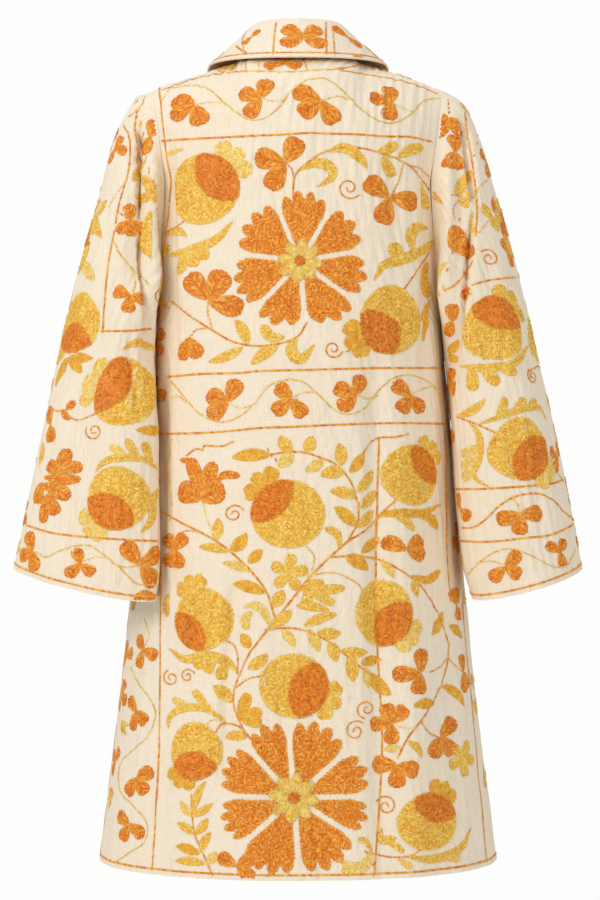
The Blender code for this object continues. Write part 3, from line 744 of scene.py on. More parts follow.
def front_gap(z):
    """Half the gap between the two front edges at height z."""
    share = (z - HEM_Z) / (-NECK_FRONT_DROP - HEM_Z)
    return FRONT_HALF_GAP_HEM + (FRONT_HALF_GAP_TOP - FRONT_HALF_GAP_HEM) * share


def armhole_x(z, side):
    """Where the armhole's edge crosses height z, between the underarm and the blade level."""
    share = (z - UNDERARM_Z) / (BLADE_Z - UNDERARM_Z)
    half_width = smooth(LEVELS, "half_width", z)
    full = 1 - (ARMHOLE_ACROSS / half_width) ** BODY_SQUARE
    cut = full * math.sin(share * math.pi / 2) ** (ARMHOLE_ROUND * BODY_SQUARE)
    return half_width * (1 - cut) ** (1 / BODY_SQUARE)


def top_edge(side):
    """The neckline and the shoulder seam, from the centre to the shoulder point."""
    depth = NECK_BACK_DEPTH if side > 0 else -NECK_FRONT_DEPTH
    drop = NECK_BACK_DROP if side > 0 else NECK_FRONT_DROP
    first = 0.0 if side > 0 else math.asin(FRONT_HALF_GAP_TOP / NECK_HALF_WIDTH)
    turn = np.linspace(first, math.pi / 2, NECK_COLUMNS + 1)
    mid = np.cos(turn) ** 1.6
    neck_z = NECK_SIDE_RISE * (1 - mid) - drop * mid
    neck = np.stack([NECK_HALF_WIDTH * np.sin(turn), depth * np.cos(turn), neck_z], axis=1)
    share = np.linspace(0.0, 1.0, SHOULDER_COLUMNS + 1)[1:]
    end_x, end_z = SHOULDER_POINT
    seam_x = NECK_HALF_WIDTH + (end_x - NECK_HALF_WIDTH) * share
    seam_z = NECK_SIDE_RISE * (1 - share) ** 3 + end_z * share + SHOULDER_CROWN * np.sin(share * math.pi)
    seam = np.stack([seam_x, np.zeros_like(seam_x), seam_z], axis=1)
    return np.concatenate([neck, seam])


def half_body(side):
    """Half the back or one front as rows of points, from hem to shoulder and from centre to side."""
    columns = NECK_COLUMNS + SHOULDER_COLUMNS
    rows = []
    for z in np.linspace(HEM_Z, UNDERARM_Z, BODY_STEPS + 1):
        x_in = 0.0 if side > 0 else front_gap(z)
        rows.append(body_arc(z, side, x_in, float(smooth(LEVELS, "half_width", z)), columns))
    for step in range(1, ARMHOLE_STEPS + 1):
        z = UNDERARM_Z + (BLADE_Z - UNDERARM_Z) * step / ARMHOLE_STEPS
        x_in = 0.0 if side > 0 else front_gap(z)
        rows.append(body_arc(z, side, x_in, armhole_x(z, side), columns))
    low, high = rows[-1], top_edge(side)
    power = 2 / SHOULDER_SQUARE
    for step in range(1, YOKE_STEPS + 1):
        turn = step / YOKE_STEPS * math.pi / 2
        up = math.sin(turn) ** power
        back = max(0.0, math.cos(turn)) ** power
        x = low[:, 0] + (high[:, 0] - low[:, 0]) * up
        y = high[:, 1] + (low[:, 1] - high[:, 1]) * back
        z = low[:, 2] + (high[:, 2] - low[:, 2]) * up
        rows.append(np.stack([x, y, z], axis=1))
    return np.array(rows)


def body_side(points):
    """How far out the body's side lies at each point's depth and height."""
    z = np.clip(points[:, 2], HEM_Z, BLADE_Z)
    half_width, side_y = smooth(LEVELS, "half_width", z), smooth(LEVELS, "side_y", z)
    off = points[:, 1] - side_y
    centre_y = np.where(off > 0, smooth(LEVELS, "back_y", z), smooth(LEVELS, "front_y", z))
    share = np.clip(off / (centre_y - side_y), 0.0, 1.0)
    above = ease((points[:, 2] - BLADE_Z) / -BLADE_Z)
    return half_width * (1 - share**BODY_SQUARE) ** (1 / BODY_SQUARE) * (1 - above)


def mirrored(grid):
    """The same points on the other side of the body."""
    return grid * np.array([-1.0, 1.0, 1.0])


def sleeve(stations, back, front):
    """A sleeve as rows of points, each row a loop that starts at the underarm and goes up the back."""
    up_back = back[BODY_STEPS:, -1]
    down_front = front[BODY_STEPS + 1 : -1, -1][::-1]
    armhole = np.concatenate([up_back, down_front])
    turn = math.pi - 2 * math.pi * np.arange(len(armhole)) / len(armhole)
    along = np.linspace(0.0, 1.0, SLEEVE_STEPS + 1)

    def section(at):
        size = {name: float(smooth(stations, name, at)) for name in stations[0]._fields[1:]}
        outer = np.array([size["outer_x"], size["outer_y"], size["outer_z"]])
        inner = np.array([size["inner_x"], size["inner_y"], size["inner_z"]])
        middle = (outer + inner) / 2
        across = (outer - inner) / 2
        deep = np.array([0.0, size["half_depth"], -size["back_drop"]])
        return middle + np.outer(np.cos(turn), across) + np.outer(np.sin(turn), deep)

    own = armhole - section(0.0)
    lean = np.clip(np.sin(turn), 0.0, None) ** 1.2
    low = 0.35 + 0.65 * ease((1 - np.cos(turn)) / 1.6)
    rows = []
    for at in along:
        rise = ease(at / LAP_START) * (1 - ease((at - LAP_START) / (LAP_END - LAP_START)))
        lap = rise * lean * low
        slack = np.outer(lap, np.array([-LAP_INWARD, LAP_BACKWARD, 0.0]))
        row = section(at) + own * (1 - ease(at / ARMHOLE_FADE)) + slack
        off = row[:, 0] - body_side(row) - SLEEVE_CLEAR * ease(at / CLEAR_START)
        blend = CLEAR_SOFTNESS * ease(at / CLEAR_START)
        row[:, 0] += (np.sqrt(off * off + blend * blend) - off) / 2
        rows.append(row)
    return np.array(rows)


def collar(neckline):
    """The collar as rows of points round the neckline, on the side that faces away from the neck.

    Each column goes up the stand, over the roll and down the fall.
    """
    columns = []
    last = len(neckline) - 1
    for k, foot in enumerate(neckline):
        round_neck = 1 - abs(2 * k / last - 1)
        size = {name: float(smooth(COLLAR_ROWS, name, round_neck)) for name in COLLAR_ROWS[0]._fields[1:]}
        turn = math.atan2(foot[0] / NECK_HALF_WIDTH, foot[1] / NECK_FRONT_DEPTH)
        spread = turn if abs(turn) < math.pi / 2 else math.copysign(
            math.pi / 2 + (abs(turn) - math.pi / 2) * COLLAR_SPREAD, turn
        )
        out = np.array([math.sin(spread), math.cos(spread), 0.0])
        up = np.array([0.0, 0.0, 1.0])
        top = foot - out * size["lean"] + up * (size["stand"] - ROLL_RADIUS)
        centre = top + out * ROLL_RADIUS
        points = [foot + (top - foot) * i / COLLAR_STAND_STEPS for i in range(COLLAR_STAND_STEPS + 1)]
        slope = math.radians(size["slope"])
        for i in range(1, COLLAR_ROLL_STEPS + 1):
            angle = math.pi - (math.pi / 2 + slope) * i / COLLAR_ROLL_STEPS
            points.append(centre + ROLL_RADIUS * (out * math.cos(angle) + up * math.sin(angle)))
        down = out * math.cos(slope) - up * math.sin(slope)
        start = points[-1]
        for i in range(1, COLLAR_FALL_STEPS + 1):
            points.append(start + down * size["fall"] * i / COLLAR_FALL_STEPS)
        columns.append(points)
    return np.array(columns).transpose(1, 0, 2)


def fold_depth(folds, points, normals, mirror):
    """How far the folds push each point inward."""
    x, z = points[..., 0] * mirror, points[..., 2]
    depth = np.zeros(x.shape)
    for fold in folds:
        down = (fold.z_top - z) / (fold.z_top - fold.z_bottom)
        path = fold.x_top + (fold.x_bottom - fold.x_top) * down + fold.bow * 4 * down * (1 - down)
        off = (x - path) / fold.width
        shape = np.exp(-off * off) * (1 - 0.35 * off * off)
        ends = ease(down / FOLD_TAPER) * ease((1 - down) / FOLD_TAPER)
        facing = ease(normals[..., 1] * fold.side * 2.2)
        depth += fold.depth * shape * ends * facing
    return depth


def uneven(across, along, spacing, run, seed):
    """Uneven ripples from -1 to 1 across the cloth, each fading in and out along it."""
    chance = np.random.default_rng(seed)
    total = np.zeros(np.broadcast(across, along).shape)
    for _ in range(9):
        wave = 2 * math.pi / (spacing * chance.uniform(0.72, 1.5))
        fade = 2 * math.pi / (run * chance.uniform(0.7, 2.2))
        phase, start, lean = chance.uniform(0, 2 * math.pi, 3)
        total += np.sin(across * wave + phase + 0.9 * np.sin(along * fade * 0.6 + lean)) * np.cos(
            along * fade + start
        )
    return total / 3.2


def resampled(grid, rows, columns, loop):
    """The same surface as a lattice whose points are evenly spaced along its rows."""
    if loop:
        grid = np.concatenate([grid, grid[:, :1]], axis=1)
    even = np.array([evenly(row, columns - 1) for row in grid])
    step = np.linalg.norm(np.diff(even, axis=0), axis=2).mean(axis=1)
    along = np.concatenate([[0.0], np.cumsum(step)])
    at = np.linspace(0.0, along[-1], rows)
    low = np.clip(np.searchsorted(along, at) - 1, 0, len(along) - 2)
    part = ((at - along[low]) / (along[low + 1] - along[low]))[:, None, None]
    return even[low] * (1 - part) + even[low + 1] * part


class Cloth:
    """One piece of cloth: a lattice of points, its outward normals, and lengths along both ways."""

    def __init__(self, name, grid, loop, out):
        self.name, self.loop, self.out = name, loop, out
        self.grid = grid
        self.refresh()

    def refresh(self):
        """Works out the normals and lengths again after the points have moved."""
        up = np.gradient(self.grid, axis=0)
        if self.loop:
            ring = np.concatenate([self.grid[:, -2:-1], self.grid, self.grid[:, 1:2]], axis=1)
            across = np.gradient(ring, axis=1)[:, 1:-1]
        else:
            across = np.gradient(self.grid, axis=1)
        normal = np.cross(across, up) * self.out
        self.normal = normal / np.linalg.norm(normal, axis=2, keepdims=True)
        side = np.linalg.norm(np.diff(self.grid, axis=1), axis=2)
        down = np.linalg.norm(np.diff(self.grid, axis=0), axis=2)
        self.across = np.concatenate([np.zeros((len(side), 1)), np.cumsum(side, axis=1)], axis=1)
        self.along = np.concatenate([np.zeros((1, down.shape[1])), np.cumsum(down, axis=0)], axis=0)

    def sample(self, field, spots):
        """A lattice field at fractional row and column places."""
        rows, columns = field.shape[:2]
        i = np.clip(spots[..., 0], 0, rows - 1.001)
        k = spots[..., 1] % (columns - 1) if self.loop else np.clip(spots[..., 1], 0, columns - 1.001)
        i0, k0 = i.astype(int), k.astype(int)
        u, v = (i - i0)[..., None], (k - k0)[..., None]
        return (
            field[i0, k0] * (1 - u) * (1 - v)
            + field[i0 + 1, k0] * u * (1 - v)
            + field[i0, k0 + 1] * (1 - u) * v
            + field[i0 + 1, k0 + 1] * u * v
        )

    def value(self, field, spots):
        """A lattice field of single numbers at such places."""
        return self.sample(field[..., None], spots)[..., 0]

    def point(self, spots):
        """Where such places lie, before the cloth puckers."""
        return self.sample(self.flat, spots)

    def inside(self, spots):
        """Which places lie on the piece, a little in from its edges."""
        rows, columns = self.grid.shape[:2]
        fine = (spots[..., 0] > 0.35) & (spots[..., 0] < rows - 1.35)
        if not self.loop:
            fine &= (spots[..., 1] > 0.5) & (spots[..., 1] < columns - 1.5)
        return fine

    def chart(self, spot):
        """The 2 x 2 matrix from metres to the viewer's right and down, into rows and columns."""
        spot = np.asarray(spot, float)
        reach = 3.0
        steps = []
        for way in ((reach, 0), (0, reach)):
            ends = np.array([spot + way, spot - way])
            at = self.point(ends)
            rows = self.flat.shape[0]
            gap = np.clip(ends[0, 0], 0, rows - 1.001) - np.clip(ends[1, 0], 0, rows - 1.001)
            share = gap if way[0] else 2 * reach
            if not self.loop and not way[0]:
                columns = self.flat.shape[1]
                share = np.clip(ends[0, 1], 0, columns - 1.001) - np.clip(ends[1, 1], 0, columns - 1.001)
            steps.append((at[0] - at[1]) / share)
        normal = np.cross(steps[1], steps[0]) * self.out
        normal /= np.linalg.norm(normal)
        down = np.array([0.0, 0.0, -1.0])
        if abs(normal[2]) > 0.9:
            down = np.array([0.0, 1.0 if normal[1] > 0 else -1.0, -0.3])
        down = down - normal * (down @ normal)
        down /= np.linalg.norm(down)
        right = np.cross(normal, down)
        metric = np.array([[steps[0] @ right, steps[1] @ right], [steps[0] @ down, steps[1] @ down]])
        return np.linalg.inv(metric)


# Where the photograph's pixels fall: the camera looks level along -Y at the coat's back
PHOTO_WIDTH, PHOTO_HEIGHT = 600, 900
CAMERA_AT = (-0.0026, 3.30, -0.4966)
FOCAL_PIXELS = 2540.0
PIXEL = 0.0013
# The plan of the front is drawn at the same scale: the pixels of its middle and of the base of the neck
FRONT_MIDDLE, FRONT_TOP = 297.5, 68.0
FACING_LIMIT = 0.10
# Motifs are widened where the cloth turns away, so that they show as wide as they are planned, to this limit
WIDEN_LIMIT = 1.25


class Work:
    """The needlework on one piece of cloth, kept as straight stitches in rows and columns."""

    def __init__(self, cloth):
        self.cloth = cloth
        self.parts = []
        eye = np.array(CAMERA_AT)
        away = eye - cloth.flat
        away /= np.linalg.norm(away, axis=2, keepdims=True)
        x, y, z = cloth.flat[..., 0], cloth.flat[..., 1], cloth.flat[..., 2]
        depth = eye[1] - y
        self.views = {
            "back": (
                PHOTO_WIDTH / 2 - FOCAL_PIXELS * (x - eye[0]) / depth,
                PHOTO_HEIGHT / 2 - FOCAL_PIXELS * (z - eye[2]) / depth,
                (cloth.normal * away).sum(axis=2),
                -y,
            ),
            "front": (FRONT_MIDDLE + x / PIXEL, FRONT_TOP - z / PIXEL, -cloth.normal[..., 1], y),
        }
        self.spots = []
        self.beds = []

    def find(self, pixels, view="back"):
        """Rows and columns under pixels of a view, and how far off in pixels the nearest point is."""
        u, v, facing, _ = self.views[view]
        gap_u, gap_v = np.gradient(u), np.gradient(v)
        spots, misses = [], []
        hidden = np.where(facing > FACING_LIMIT, 0.0, 1e6)
        for px, py in np.atleast_2d(pixels):
            off = (u - px) ** 2 + (v - py) ** 2 + hidden
            i, k = np.unravel_index(np.argmin(off), off.shape)
            step = np.array([[gap_u[0][i, k], gap_u[1][i, k]], [gap_v[0][i, k], gap_v[1][i, k]]])
            try:
                fix = np.linalg.solve(step, [px - u[i, k], py - v[i, k]])
            except np.linalg.LinAlgError:
                fix = np.zeros(2)
            spots.append(np.array([i, k]) + np.clip(fix, -1.5, 1.5))
            misses.append(math.sqrt(off[i, k]))
        return np.array(spots), np.array(misses)

    def note(self, place, size):
        """Marks the cloth round a place as taken."""
        self.spots.append((self.cloth.point(place), size))

    def add(self, starts, ends, width, lift, tone):
        """Stitches between two arrays of places; tone is the thread's colour number."""
        if len(starts):
            keep = self.cloth.inside(starts) & self.cloth.inside(ends)
            count = int(keep.sum())
            widths = width * rng.uniform(1 - WIDTH_SPREAD, 1 + WIDTH_SPREAD, count)
            self.parts.append((starts[keep], ends[keep], widths, np.full(count, lift), np.full(count, tone)))

    def lay_bed(self, starts, ends, width, lift, tone):
        """Flat laid threads under the stitches, between two arrays of places."""
        if len(starts):
            keep = self.cloth.inside(starts) & self.cloth.inside(ends)
            every = [np.full(int(keep.sum()), value) for value in (width, lift, tone)]
            self.beds.append((starts[keep], ends[keep], *every))


def spot_of(works, px, py, view="back"):
    """The piece that shows at a pixel, and the place on it."""
    best = None
    for work in works:
        spots, misses = work.find([(px, py)], view)
        i, k = np.clip(np.round(spots[0]).astype(int), 0, np.array(work.cloth.flat.shape[:2]) - 1)
        rank = (max(0.0, misses[0] - 3.0), work.views[view][3][i, k])
        if best is None or rank < best[0]:
            best = (rank, work, spots[0])
    return best[1], best[2]


# Thread tones: two shades of orange, two of gold, and a pale yellow
ORANGE, RUST, GOLD, AMBER, STRAW = range(5)
# The laid thread under each fill takes a darker tone of its colour: partly a real underlay, partly painted
# shade in the gaps between stitches and at the motifs' edges
SHADED_BED_TONE = (RUST, RUST, AMBER, AMBER, GOLD)
THREAD_WIDTH = 0.00235
WIDTH_SPREAD = 0.12
THREAD_LINE = 0.0021
THREAD_PITCH = 0.00195
STITCH_LENGTH = 0.0062
SHORTEST_STITCH = 0.0012
FILL_LIFT = 0.00095
CORD_LIFT = 0.00105
BED_LIFT = 0.00035
RIM_SPACING = 0.0018
RIM_LENGTH = 0.0040
RIM_SLANT = 1.1
BED_PITCH = 0.0028
BED_WIDTH = 0.0033
BED_LENGTH = 0.0042
LINE_SPACING = 0.0044
LINE_STITCH = 0.0066
CURVE_STEPS = 8
WAVE_PERIOD = 0.10
LEAF_LENGTH = 0.026
LEAF_EVERY = 0.040
SHORTEST_LEAF = 0.003
# How many pixels a line's points may miss its piece by and still count as lying on it
LINE_MISS = 4
FROND_MISS = 5
# A stitch that spans more than this crosses a crease, and is left out
LONGEST_STITCH = 0.016
# A motif that the cloth stretches to more than this share of its planned length is left out
STRETCH_LIMIT = 1.6


def turned(points, degrees):
    """Points turned clockwise as the viewer sees them."""
    a = math.radians(degrees)
    return points @ np.array([[math.cos(a), math.sin(a)], [-math.sin(a), math.cos(a)]])


def rows_across(outline, degrees, pitch):
    """The parts of evenly spaced parallel lines that lie inside a closed outline, and the turned sheet."""
    flat = turned(outline, -degrees)
    low, high = flat[:, 1].min(), flat[:, 1].max()
    ahead = np.roll(flat, -1, axis=0)
    for y in np.arange(low + pitch * 0.5, high, pitch):
        crosses = (flat[:, 1] > y) != (ahead[:, 1] > y)
        a, b = flat[crosses], ahead[crosses]
        xs = np.sort(a[:, 0] + (y - a[:, 1]) / (b[:, 1] - a[:, 1]) * (b[:, 0] - a[:, 0]))
        for x0, x1 in zip(xs[::2], xs[1::2]):
            yield y, x0, x1


def fill(outline, degrees, wave):
    """Rows of short uneven stitches that fill a closed outline, as start and end points."""
    starts, ends = [], []
    for y, x0, x1 in rows_across(outline, degrees, THREAD_PITCH):
        x = x0 - rng.uniform(0, STITCH_LENGTH * 0.8)
        while x < x1:
            end = x + STITCH_LENGTH * rng.uniform(0.6, 1.3)
            first, last = max(x, x0), min(end, x1)
            if last - first > SHORTEST_STITCH:
                swing = math.radians(wave) * math.sin(x * 260 + y * 190) + rng.normal(0, 0.30)
                mid, half = (first + last) / 2, (last - first) / 2 + 0.0003
                lean = 0.0 if half < 0.0018 else swing
                dx, dy = half * math.cos(lean), half * math.sin(lean)
                starts.append((mid - dx, y - dy))
                ends.append((mid + dx, y + dy))
            x = end
    return laid(starts, ends, degrees)


def bed(outline, degrees):
    """Rows of flat laid thread under a filled outline."""
    starts, ends = [], []
    middle = outline.mean(axis=0)
    inset = 1 - 0.0016 / max(np.linalg.norm(outline - middle, axis=1).mean(), 0.004)
    outline = middle + (outline - middle) * inset
    for y, x0, x1 in rows_across(outline, degrees, BED_PITCH):
        cuts = np.linspace(x0, x1, int((x1 - x0) / BED_LENGTH) + 2)
        starts += [(x, y) for x in cuts[:-1]]
        ends += [(x, y) for x in cuts[1:]]
    return laid(starts, ends, degrees)


def laid(starts, ends, degrees):
    """Both lists of points as arrays, turned."""
    if not starts:
        return np.zeros((0, 2)), np.zeros((0, 2))
    return turned(np.array(starts), degrees), turned(np.array(ends), degrees)


def rim(outline):
    """Short stitches that run inwards from a closed outline, as start and end points."""
    line = walk(np.concatenate([outline, outline[:1]]), RIM_SPACING)[:-1]
    way = unit(np.roll(line, -1, axis=0) - np.roll(line, 1, axis=0))
    ahead = np.roll(outline, -1, axis=0)
    hand = np.sign((outline[:, 0] * ahead[:, 1] - ahead[:, 0] * outline[:, 1]).sum())
    inward = sideways(way) * hand
    long = RIM_LENGTH * rng.uniform(0.75, 1.2, (len(line), 1))
    line = line + inward * 0.0003
    return line, line + (way * RIM_SLANT + inward) * long / math.hypot(RIM_SLANT, 1)


def satin(spine, half, lean):
    """Stitches from a leaf's middle line forward and out to both edges, as start and end points."""
    along = lengths(spine)
    at = np.arange(THREAD_PITCH * 0.4, along[-1], THREAD_PITCH)

    def on_spine(where):
        return places_at(where, along, spine)

    width = np.interp(at, along, half)
    ahead = on_spine(np.minimum(at + 0.0015, along[-1])) - on_spine(np.maximum(at - 0.0015, 0.0))
    side = sideways(unit(ahead))
    starts, ends = [], []
    for hand in (1, -1):
        shaky = rng.normal(0, 0.00035, (2, len(at), 2))
        root = on_spine(np.maximum(at - width * lean, 0.0)) + shaky[0]
        tip = on_spine(at) + side * hand * width[:, None] + shaky[1]
        cut = rng.uniform(0.35, 0.65, (len(at), 1))
        split = np.linalg.norm(tip - root, axis=1) > STITCH_LENGTH
        join = root + (tip - root) * cut + rng.normal(0, 0.00045, (len(at), 2))
        back = (tip - root) * 0.08
        starts += [root[~split], root[split], (join - back)[split]]
        ends += [tip[~split], (join + back)[split], tip[split]]
    return np.concatenate(starts), np.concatenate(ends), on_spine(at), side * width[:, None]


def walk(points, step):
    """Points evenly spaced along a line."""
    along = lengths(points)
    return evenly(points, max(2, int(along[-1] / step) + 1) - 1)


def curved(points):
    """A smooth line through a few points."""
    points = np.asarray(points, float)
    if len(points) < 3:
        return points
    ends = np.concatenate([2 * points[:1] - points[1:2], points, 2 * points[-1:] - points[-2:-1]])
    line = []
    for a, b, c, d in zip(ends, ends[1:], ends[2:], ends[3:]):
        for t in np.linspace(0, 1, CURVE_STEPS, endpoint=False):
            rise = (c - a) * t + (2 * a - 5 * b + 4 * c - d) * t * t + (3 * b - 3 * c + d - a) * t**3
            line.append(0.5 * (2 * b + rise))
    line.append(points[-1])
    return np.array(line)


class Spot:
    """A place on a piece of cloth with its own flat sheet of metres, to the viewer's right and down."""

    def __init__(self, work, place, view="back"):
        self.work, self.place = work, np.asarray(place, float)
        self.matrix = work.cloth.chart(self.place)
        facing = work.views[view][2]
        turned_to = float(work.cloth.value(facing, self.place))
        self.matrix = self.matrix @ np.diag([min(1 / max(turned_to, 0.1), WIDEN_LIMIT), 1.0])

    def lay(self, points):
        """Points of the sheet as places on the cloth."""
        return self.place + points @ self.matrix.T

    def unlay(self, places):
        """Places on the cloth as points of the sheet."""
        return (places - self.place) @ np.linalg.inv(self.matrix).T

    def fill(self, outline, degrees, tone, wave=16, edged=True, raised=0.0):
        """Fills a closed outline with laid thread and rows of stitches, edged by inward ones."""
        a, b = bed(outline, degrees)
        self.work.lay_bed(self.lay(a), self.lay(b), BED_WIDTH, BED_LIFT + raised, SHADED_BED_TONE[tone])
        a, b = fill(outline, degrees, wave)
        self.work.add(self.lay(a), self.lay(b), THREAD_WIDTH, FILL_LIFT + raised, tone)
        if edged:
            a, b = rim(outline)
            self.work.add(self.lay(a), self.lay(b), THREAD_WIDTH * 0.9, FILL_LIFT + raised + 0.0001, tone)

    def leaf(self, spine, half, tone, lean=0.75):
        """Fills a shape that runs along a line, this wide to either side of it."""
        if lengths(spine)[-1] < SHORTEST_LEAF:
            return
        a, b, middle, side = satin(spine, half, lean)
        self.work.add(self.lay(a), self.lay(b), THREAD_WIDTH, FILL_LIFT, tone)
        widest = np.linalg.norm(side, axis=1).max()
        cuts = np.linspace(-0.94, 0.94, 2 * int(widest / BED_LENGTH) + 3)
        for near, far in zip(cuts, cuts[1:]):
            a, b = self.lay(middle + side * near), self.lay(middle + side * far)
            self.work.lay_bed(a, b, THREAD_PITCH * 1.25, BED_LIFT, SHADED_BED_TONE[tone])

    def tendril(self, points, tone):
        """Overlapping slanted stitches along a line in metres."""
        line = walk(points, 0.0030)
        way = unit(np.gradient(line, axis=0))
        half = 0.0027 * (way + sideways(way) * 0.32)
        self.work.add(self.lay(line - half), self.lay(line + half), THREAD_LINE, CORD_LIFT, tone)


def lobe(spot, foot, turn, length, width, tone):
    """A rounded lobe, widest past its middle, that points along a turn."""
    t = (1 - np.cos(np.linspace(0, math.pi, 20))) / 2
    half = width * (t * (1 - t)) ** 0.45 * (0.42 + 0.58 * 1.35 * t)
    spine = np.asarray(foot) + turned(np.stack([np.zeros(20), -length * t], axis=1), turn)
    spot.leaf(spine, half, tone, lean=0.9)


def bent_leaf(spot, foot, tip, width, bend, tone):
    """A leaf with two pointed ends, bent to the right by a share of its length."""
    t = np.linspace(0, 1, 16)
    foot, tip = np.asarray(foot), np.asarray(tip)
    way = tip - foot
    right = np.array([-way[1], way[0]])
    spine = foot + way * t[:, None] + right * (bend * 4 * t * (1 - t))[:, None]
    half = width / 2 * np.sin(math.pi * t**0.9) ** 0.75
    spot.leaf(spine, half, tone)


# A petal in shares of its length: where its sides end, where its corners lie, and half the gap beside it
PETAL_SIDES = 0.69
PETAL_CORNERS = 0.76
PETAL_GAP = 0.036


def petal_outline(radius, half_angle, lobes, core):
    """A wedge-shaped petal with a scalloped end, pointing up from the middle of its flower."""
    full = math.radians(half_angle)
    side = np.linspace(core, PETAL_SIDES, 9)
    spread = np.maximum(full - PETAL_GAP / side, 0.04)
    left = np.stack([-np.sin(spread) * side, -np.cos(spread) * side], axis=1)
    across = np.linspace(-1, 1, lobes * 9)
    bump = np.abs(np.sin(math.pi * lobes * (across + 1) / 2)) ** 0.6
    reach = 0.82 + 0.18 * bump - 0.11 * across**2
    angle = (full - PETAL_GAP / PETAL_CORNERS) * across
    top = np.stack([np.sin(angle) * reach, -np.cos(angle) * reach], axis=1)
    right = left[::-1] * np.array([-1, 1])
    return np.concatenate([left, top, right]) * radius


def clover(spot, size, lobes, tone=0):
    """Plump lobes that spread from one place."""
    for n, turn in enumerate(lobes):
        length = size * (1.0 + 0.07 * math.sin(n * 2.3 + turn))
        foot = turned(np.array([[0.0, -size * 0.04]]), turn)[0]
        lobe(spot, foot, turn, length, size * 0.84, tone)


def star(spot, size, turn, tone):
    """A small flower of five rounded lobes."""
    for n in range(5):
        lobe(spot, (0.0, 0.0), turn + 360 * n / 5, size, size * 0.66, tone)


def rosette(spot, radius, gaps):
    """A large round flower: scalloped wedge petals round a small pale flower. Gaps are turns."""
    for n, gap in enumerate(gaps):
        after = gaps[(n + 1) % len(gaps)] + (360 if n == len(gaps) - 1 else 0)
        middle, width = (gap + after) / 2, after - gap
        lobes = max(3, round(width / (15.5 if radius < 0.092 else 12.0)))
        size = radius * (1 + 0.03 * math.sin(n * 2.1 + 0.5))
        shape = turned(petal_outline(size, width / 2, lobes, 0.22), middle)
        spot.fill(shape, middle + 90, ORANGE, wave=24)
    heart = radius * 0.33
    for turn in range(8, 368, 45):
        heart_lobe = circle(heart * 0.235, heart * 0.40) + np.array([0.0, -heart * 0.58])
        spot.fill(turned(heart_lobe, turn), turn + 90, STRAW, raised=0.0010)
    spot.fill(circle(radius * 0.080), 40, ORANGE, edged=False, raised=0.0016)


def circle(radius, high=None):
    """A closed outline, as high as it is wide or else an oval."""
    t = np.linspace(0, 2 * math.pi, 44, endpoint=False)
    return np.stack([np.cos(t) * radius, np.sin(t) * (high or radius)], axis=1)


def fruit(spot, wide, high, crown, crown_tone, blush, offset):
    """A round fruit in gold, with an orange blush on one side and a small crown of three lobes."""
    disc = circle(wide, high)
    spot.fill(disc, blush + 38, GOLD, wave=38)
    middle = turned(np.array([[0.0, -offset * wide]]), blush)[0]
    second = middle + circle(wide * BLUSH_REACH)
    inside_second = np.linalg.norm(disc - middle, axis=1) < wide * BLUSH_REACH
    inside_disc = (second[:, 0] / wide) ** 2 + (second[:, 1] / high) ** 2 < 0.985
    cap = np.concatenate([disc[inside_second] * 1.015, second[inside_disc]])
    off = cap - cap.mean(axis=0)
    cap = cap[np.argsort(np.arctan2(off[:, 1], off[:, 0]))]
    spot.fill(cap, blush + 20, ORANGE, wave=30, raised=0.0009)
    if crown >= 0:
        foot = turned(np.array([[0.0, -(wide + high) / 2 * 0.98]]), crown)[0]
        for n, lean in enumerate((-66, 0, 66)):
            size = (wide + high) * (0.31 if lean else 0.25)
            lobe(spot, foot, crown + lean, size, size * 0.84, crown_tone)


def cut_cloths():
    """Every piece of cloth, with its folds, creases, puckers and turned edges."""
    back, front = half_body(1), half_body(-1)
    neck_front = front[-1, : NECK_COLUMNS + 1]
    neck_back = back[-1, :NECK_COLUMNS]
    left_half = np.concatenate([neck_front, neck_back[::-1]])
    neckline = np.concatenate([left_half, mirrored(left_half)[-2::-1]])
    whole_back = np.concatenate([mirrored(back)[:, :0:-1], back], axis=1)
    cuts = {
        "back": (whole_back, False, -1, BODY_FOLDS + CREASES, 1),
        "front_left": (front, False, 1, BODY_FOLDS + CREASES, 1),
        "front_right": (mirrored(front), False, -1, BODY_FOLDS + CREASES, 1),
        "sleeve_left": (sleeve(SLEEVE_LEFT, back, front), True, 1, SLEEVE_FOLDS + LEFT_CREASES, 1),
        "sleeve_right": (
            mirrored(sleeve(SLEEVE_RIGHT, back, front)), True, -1, SLEEVE_FOLDS + RIGHT_CREASES, -1
        ),
        "collar": (collar(neckline), False, 1, (), 1),
    }
    cloths = {}
    for number, (name, (grid, loop, out, folds, mirror)) in enumerate(cuts.items()):
        rows, columns = LATTICE[name]
        cloth = Cloth(name, resampled(grid, rows, columns, loop), loop, out)
        if name == "collar":
            cloth.grid = cloth.grid - cloth.normal * COLLAR_WALL
            cloth.out = -1
        else:
            depth = fold_depth(folds, cloth.grid, cloth.normal, mirror)
            cloth.grid = cloth.grid - cloth.normal * depth[..., None]
            if cloth.loop:
                hang_in(cloth, mirror)
        cloth.refresh()
        cloth.flat = cloth.grid.copy()
        finish_surface(cloth, number)
        cloths[name] = cloth
    return cloths


def hang_in(cloth, side):
    """Lets a sleeve's inner side hang against the body, with a loose fold that laps over the back."""
    x_out, y_out = cloth.normal[..., 0] * side, cloth.normal[..., 1]
    z = cloth.grid[..., 2]
    inward = np.clip(-x_out, 0.0, 1.0)
    low = HANG_IN[side] * ease((HANG_TOP - z) / 0.10) * ease((z - HANG_END) / 0.06)
    lap = np.exp(-(((z - LAP_HEIGHT) / LAP_REACH) ** 2))
    lap = lap * np.clip(inward * 1.6, 0, 1) * np.clip(0.6 + y_out, 0, 1)
    cloth.grid[..., 0] -= side * (low * inward + LAP_OUT * lap)
    cloth.grid[..., 1] += LAP_BACK * lap


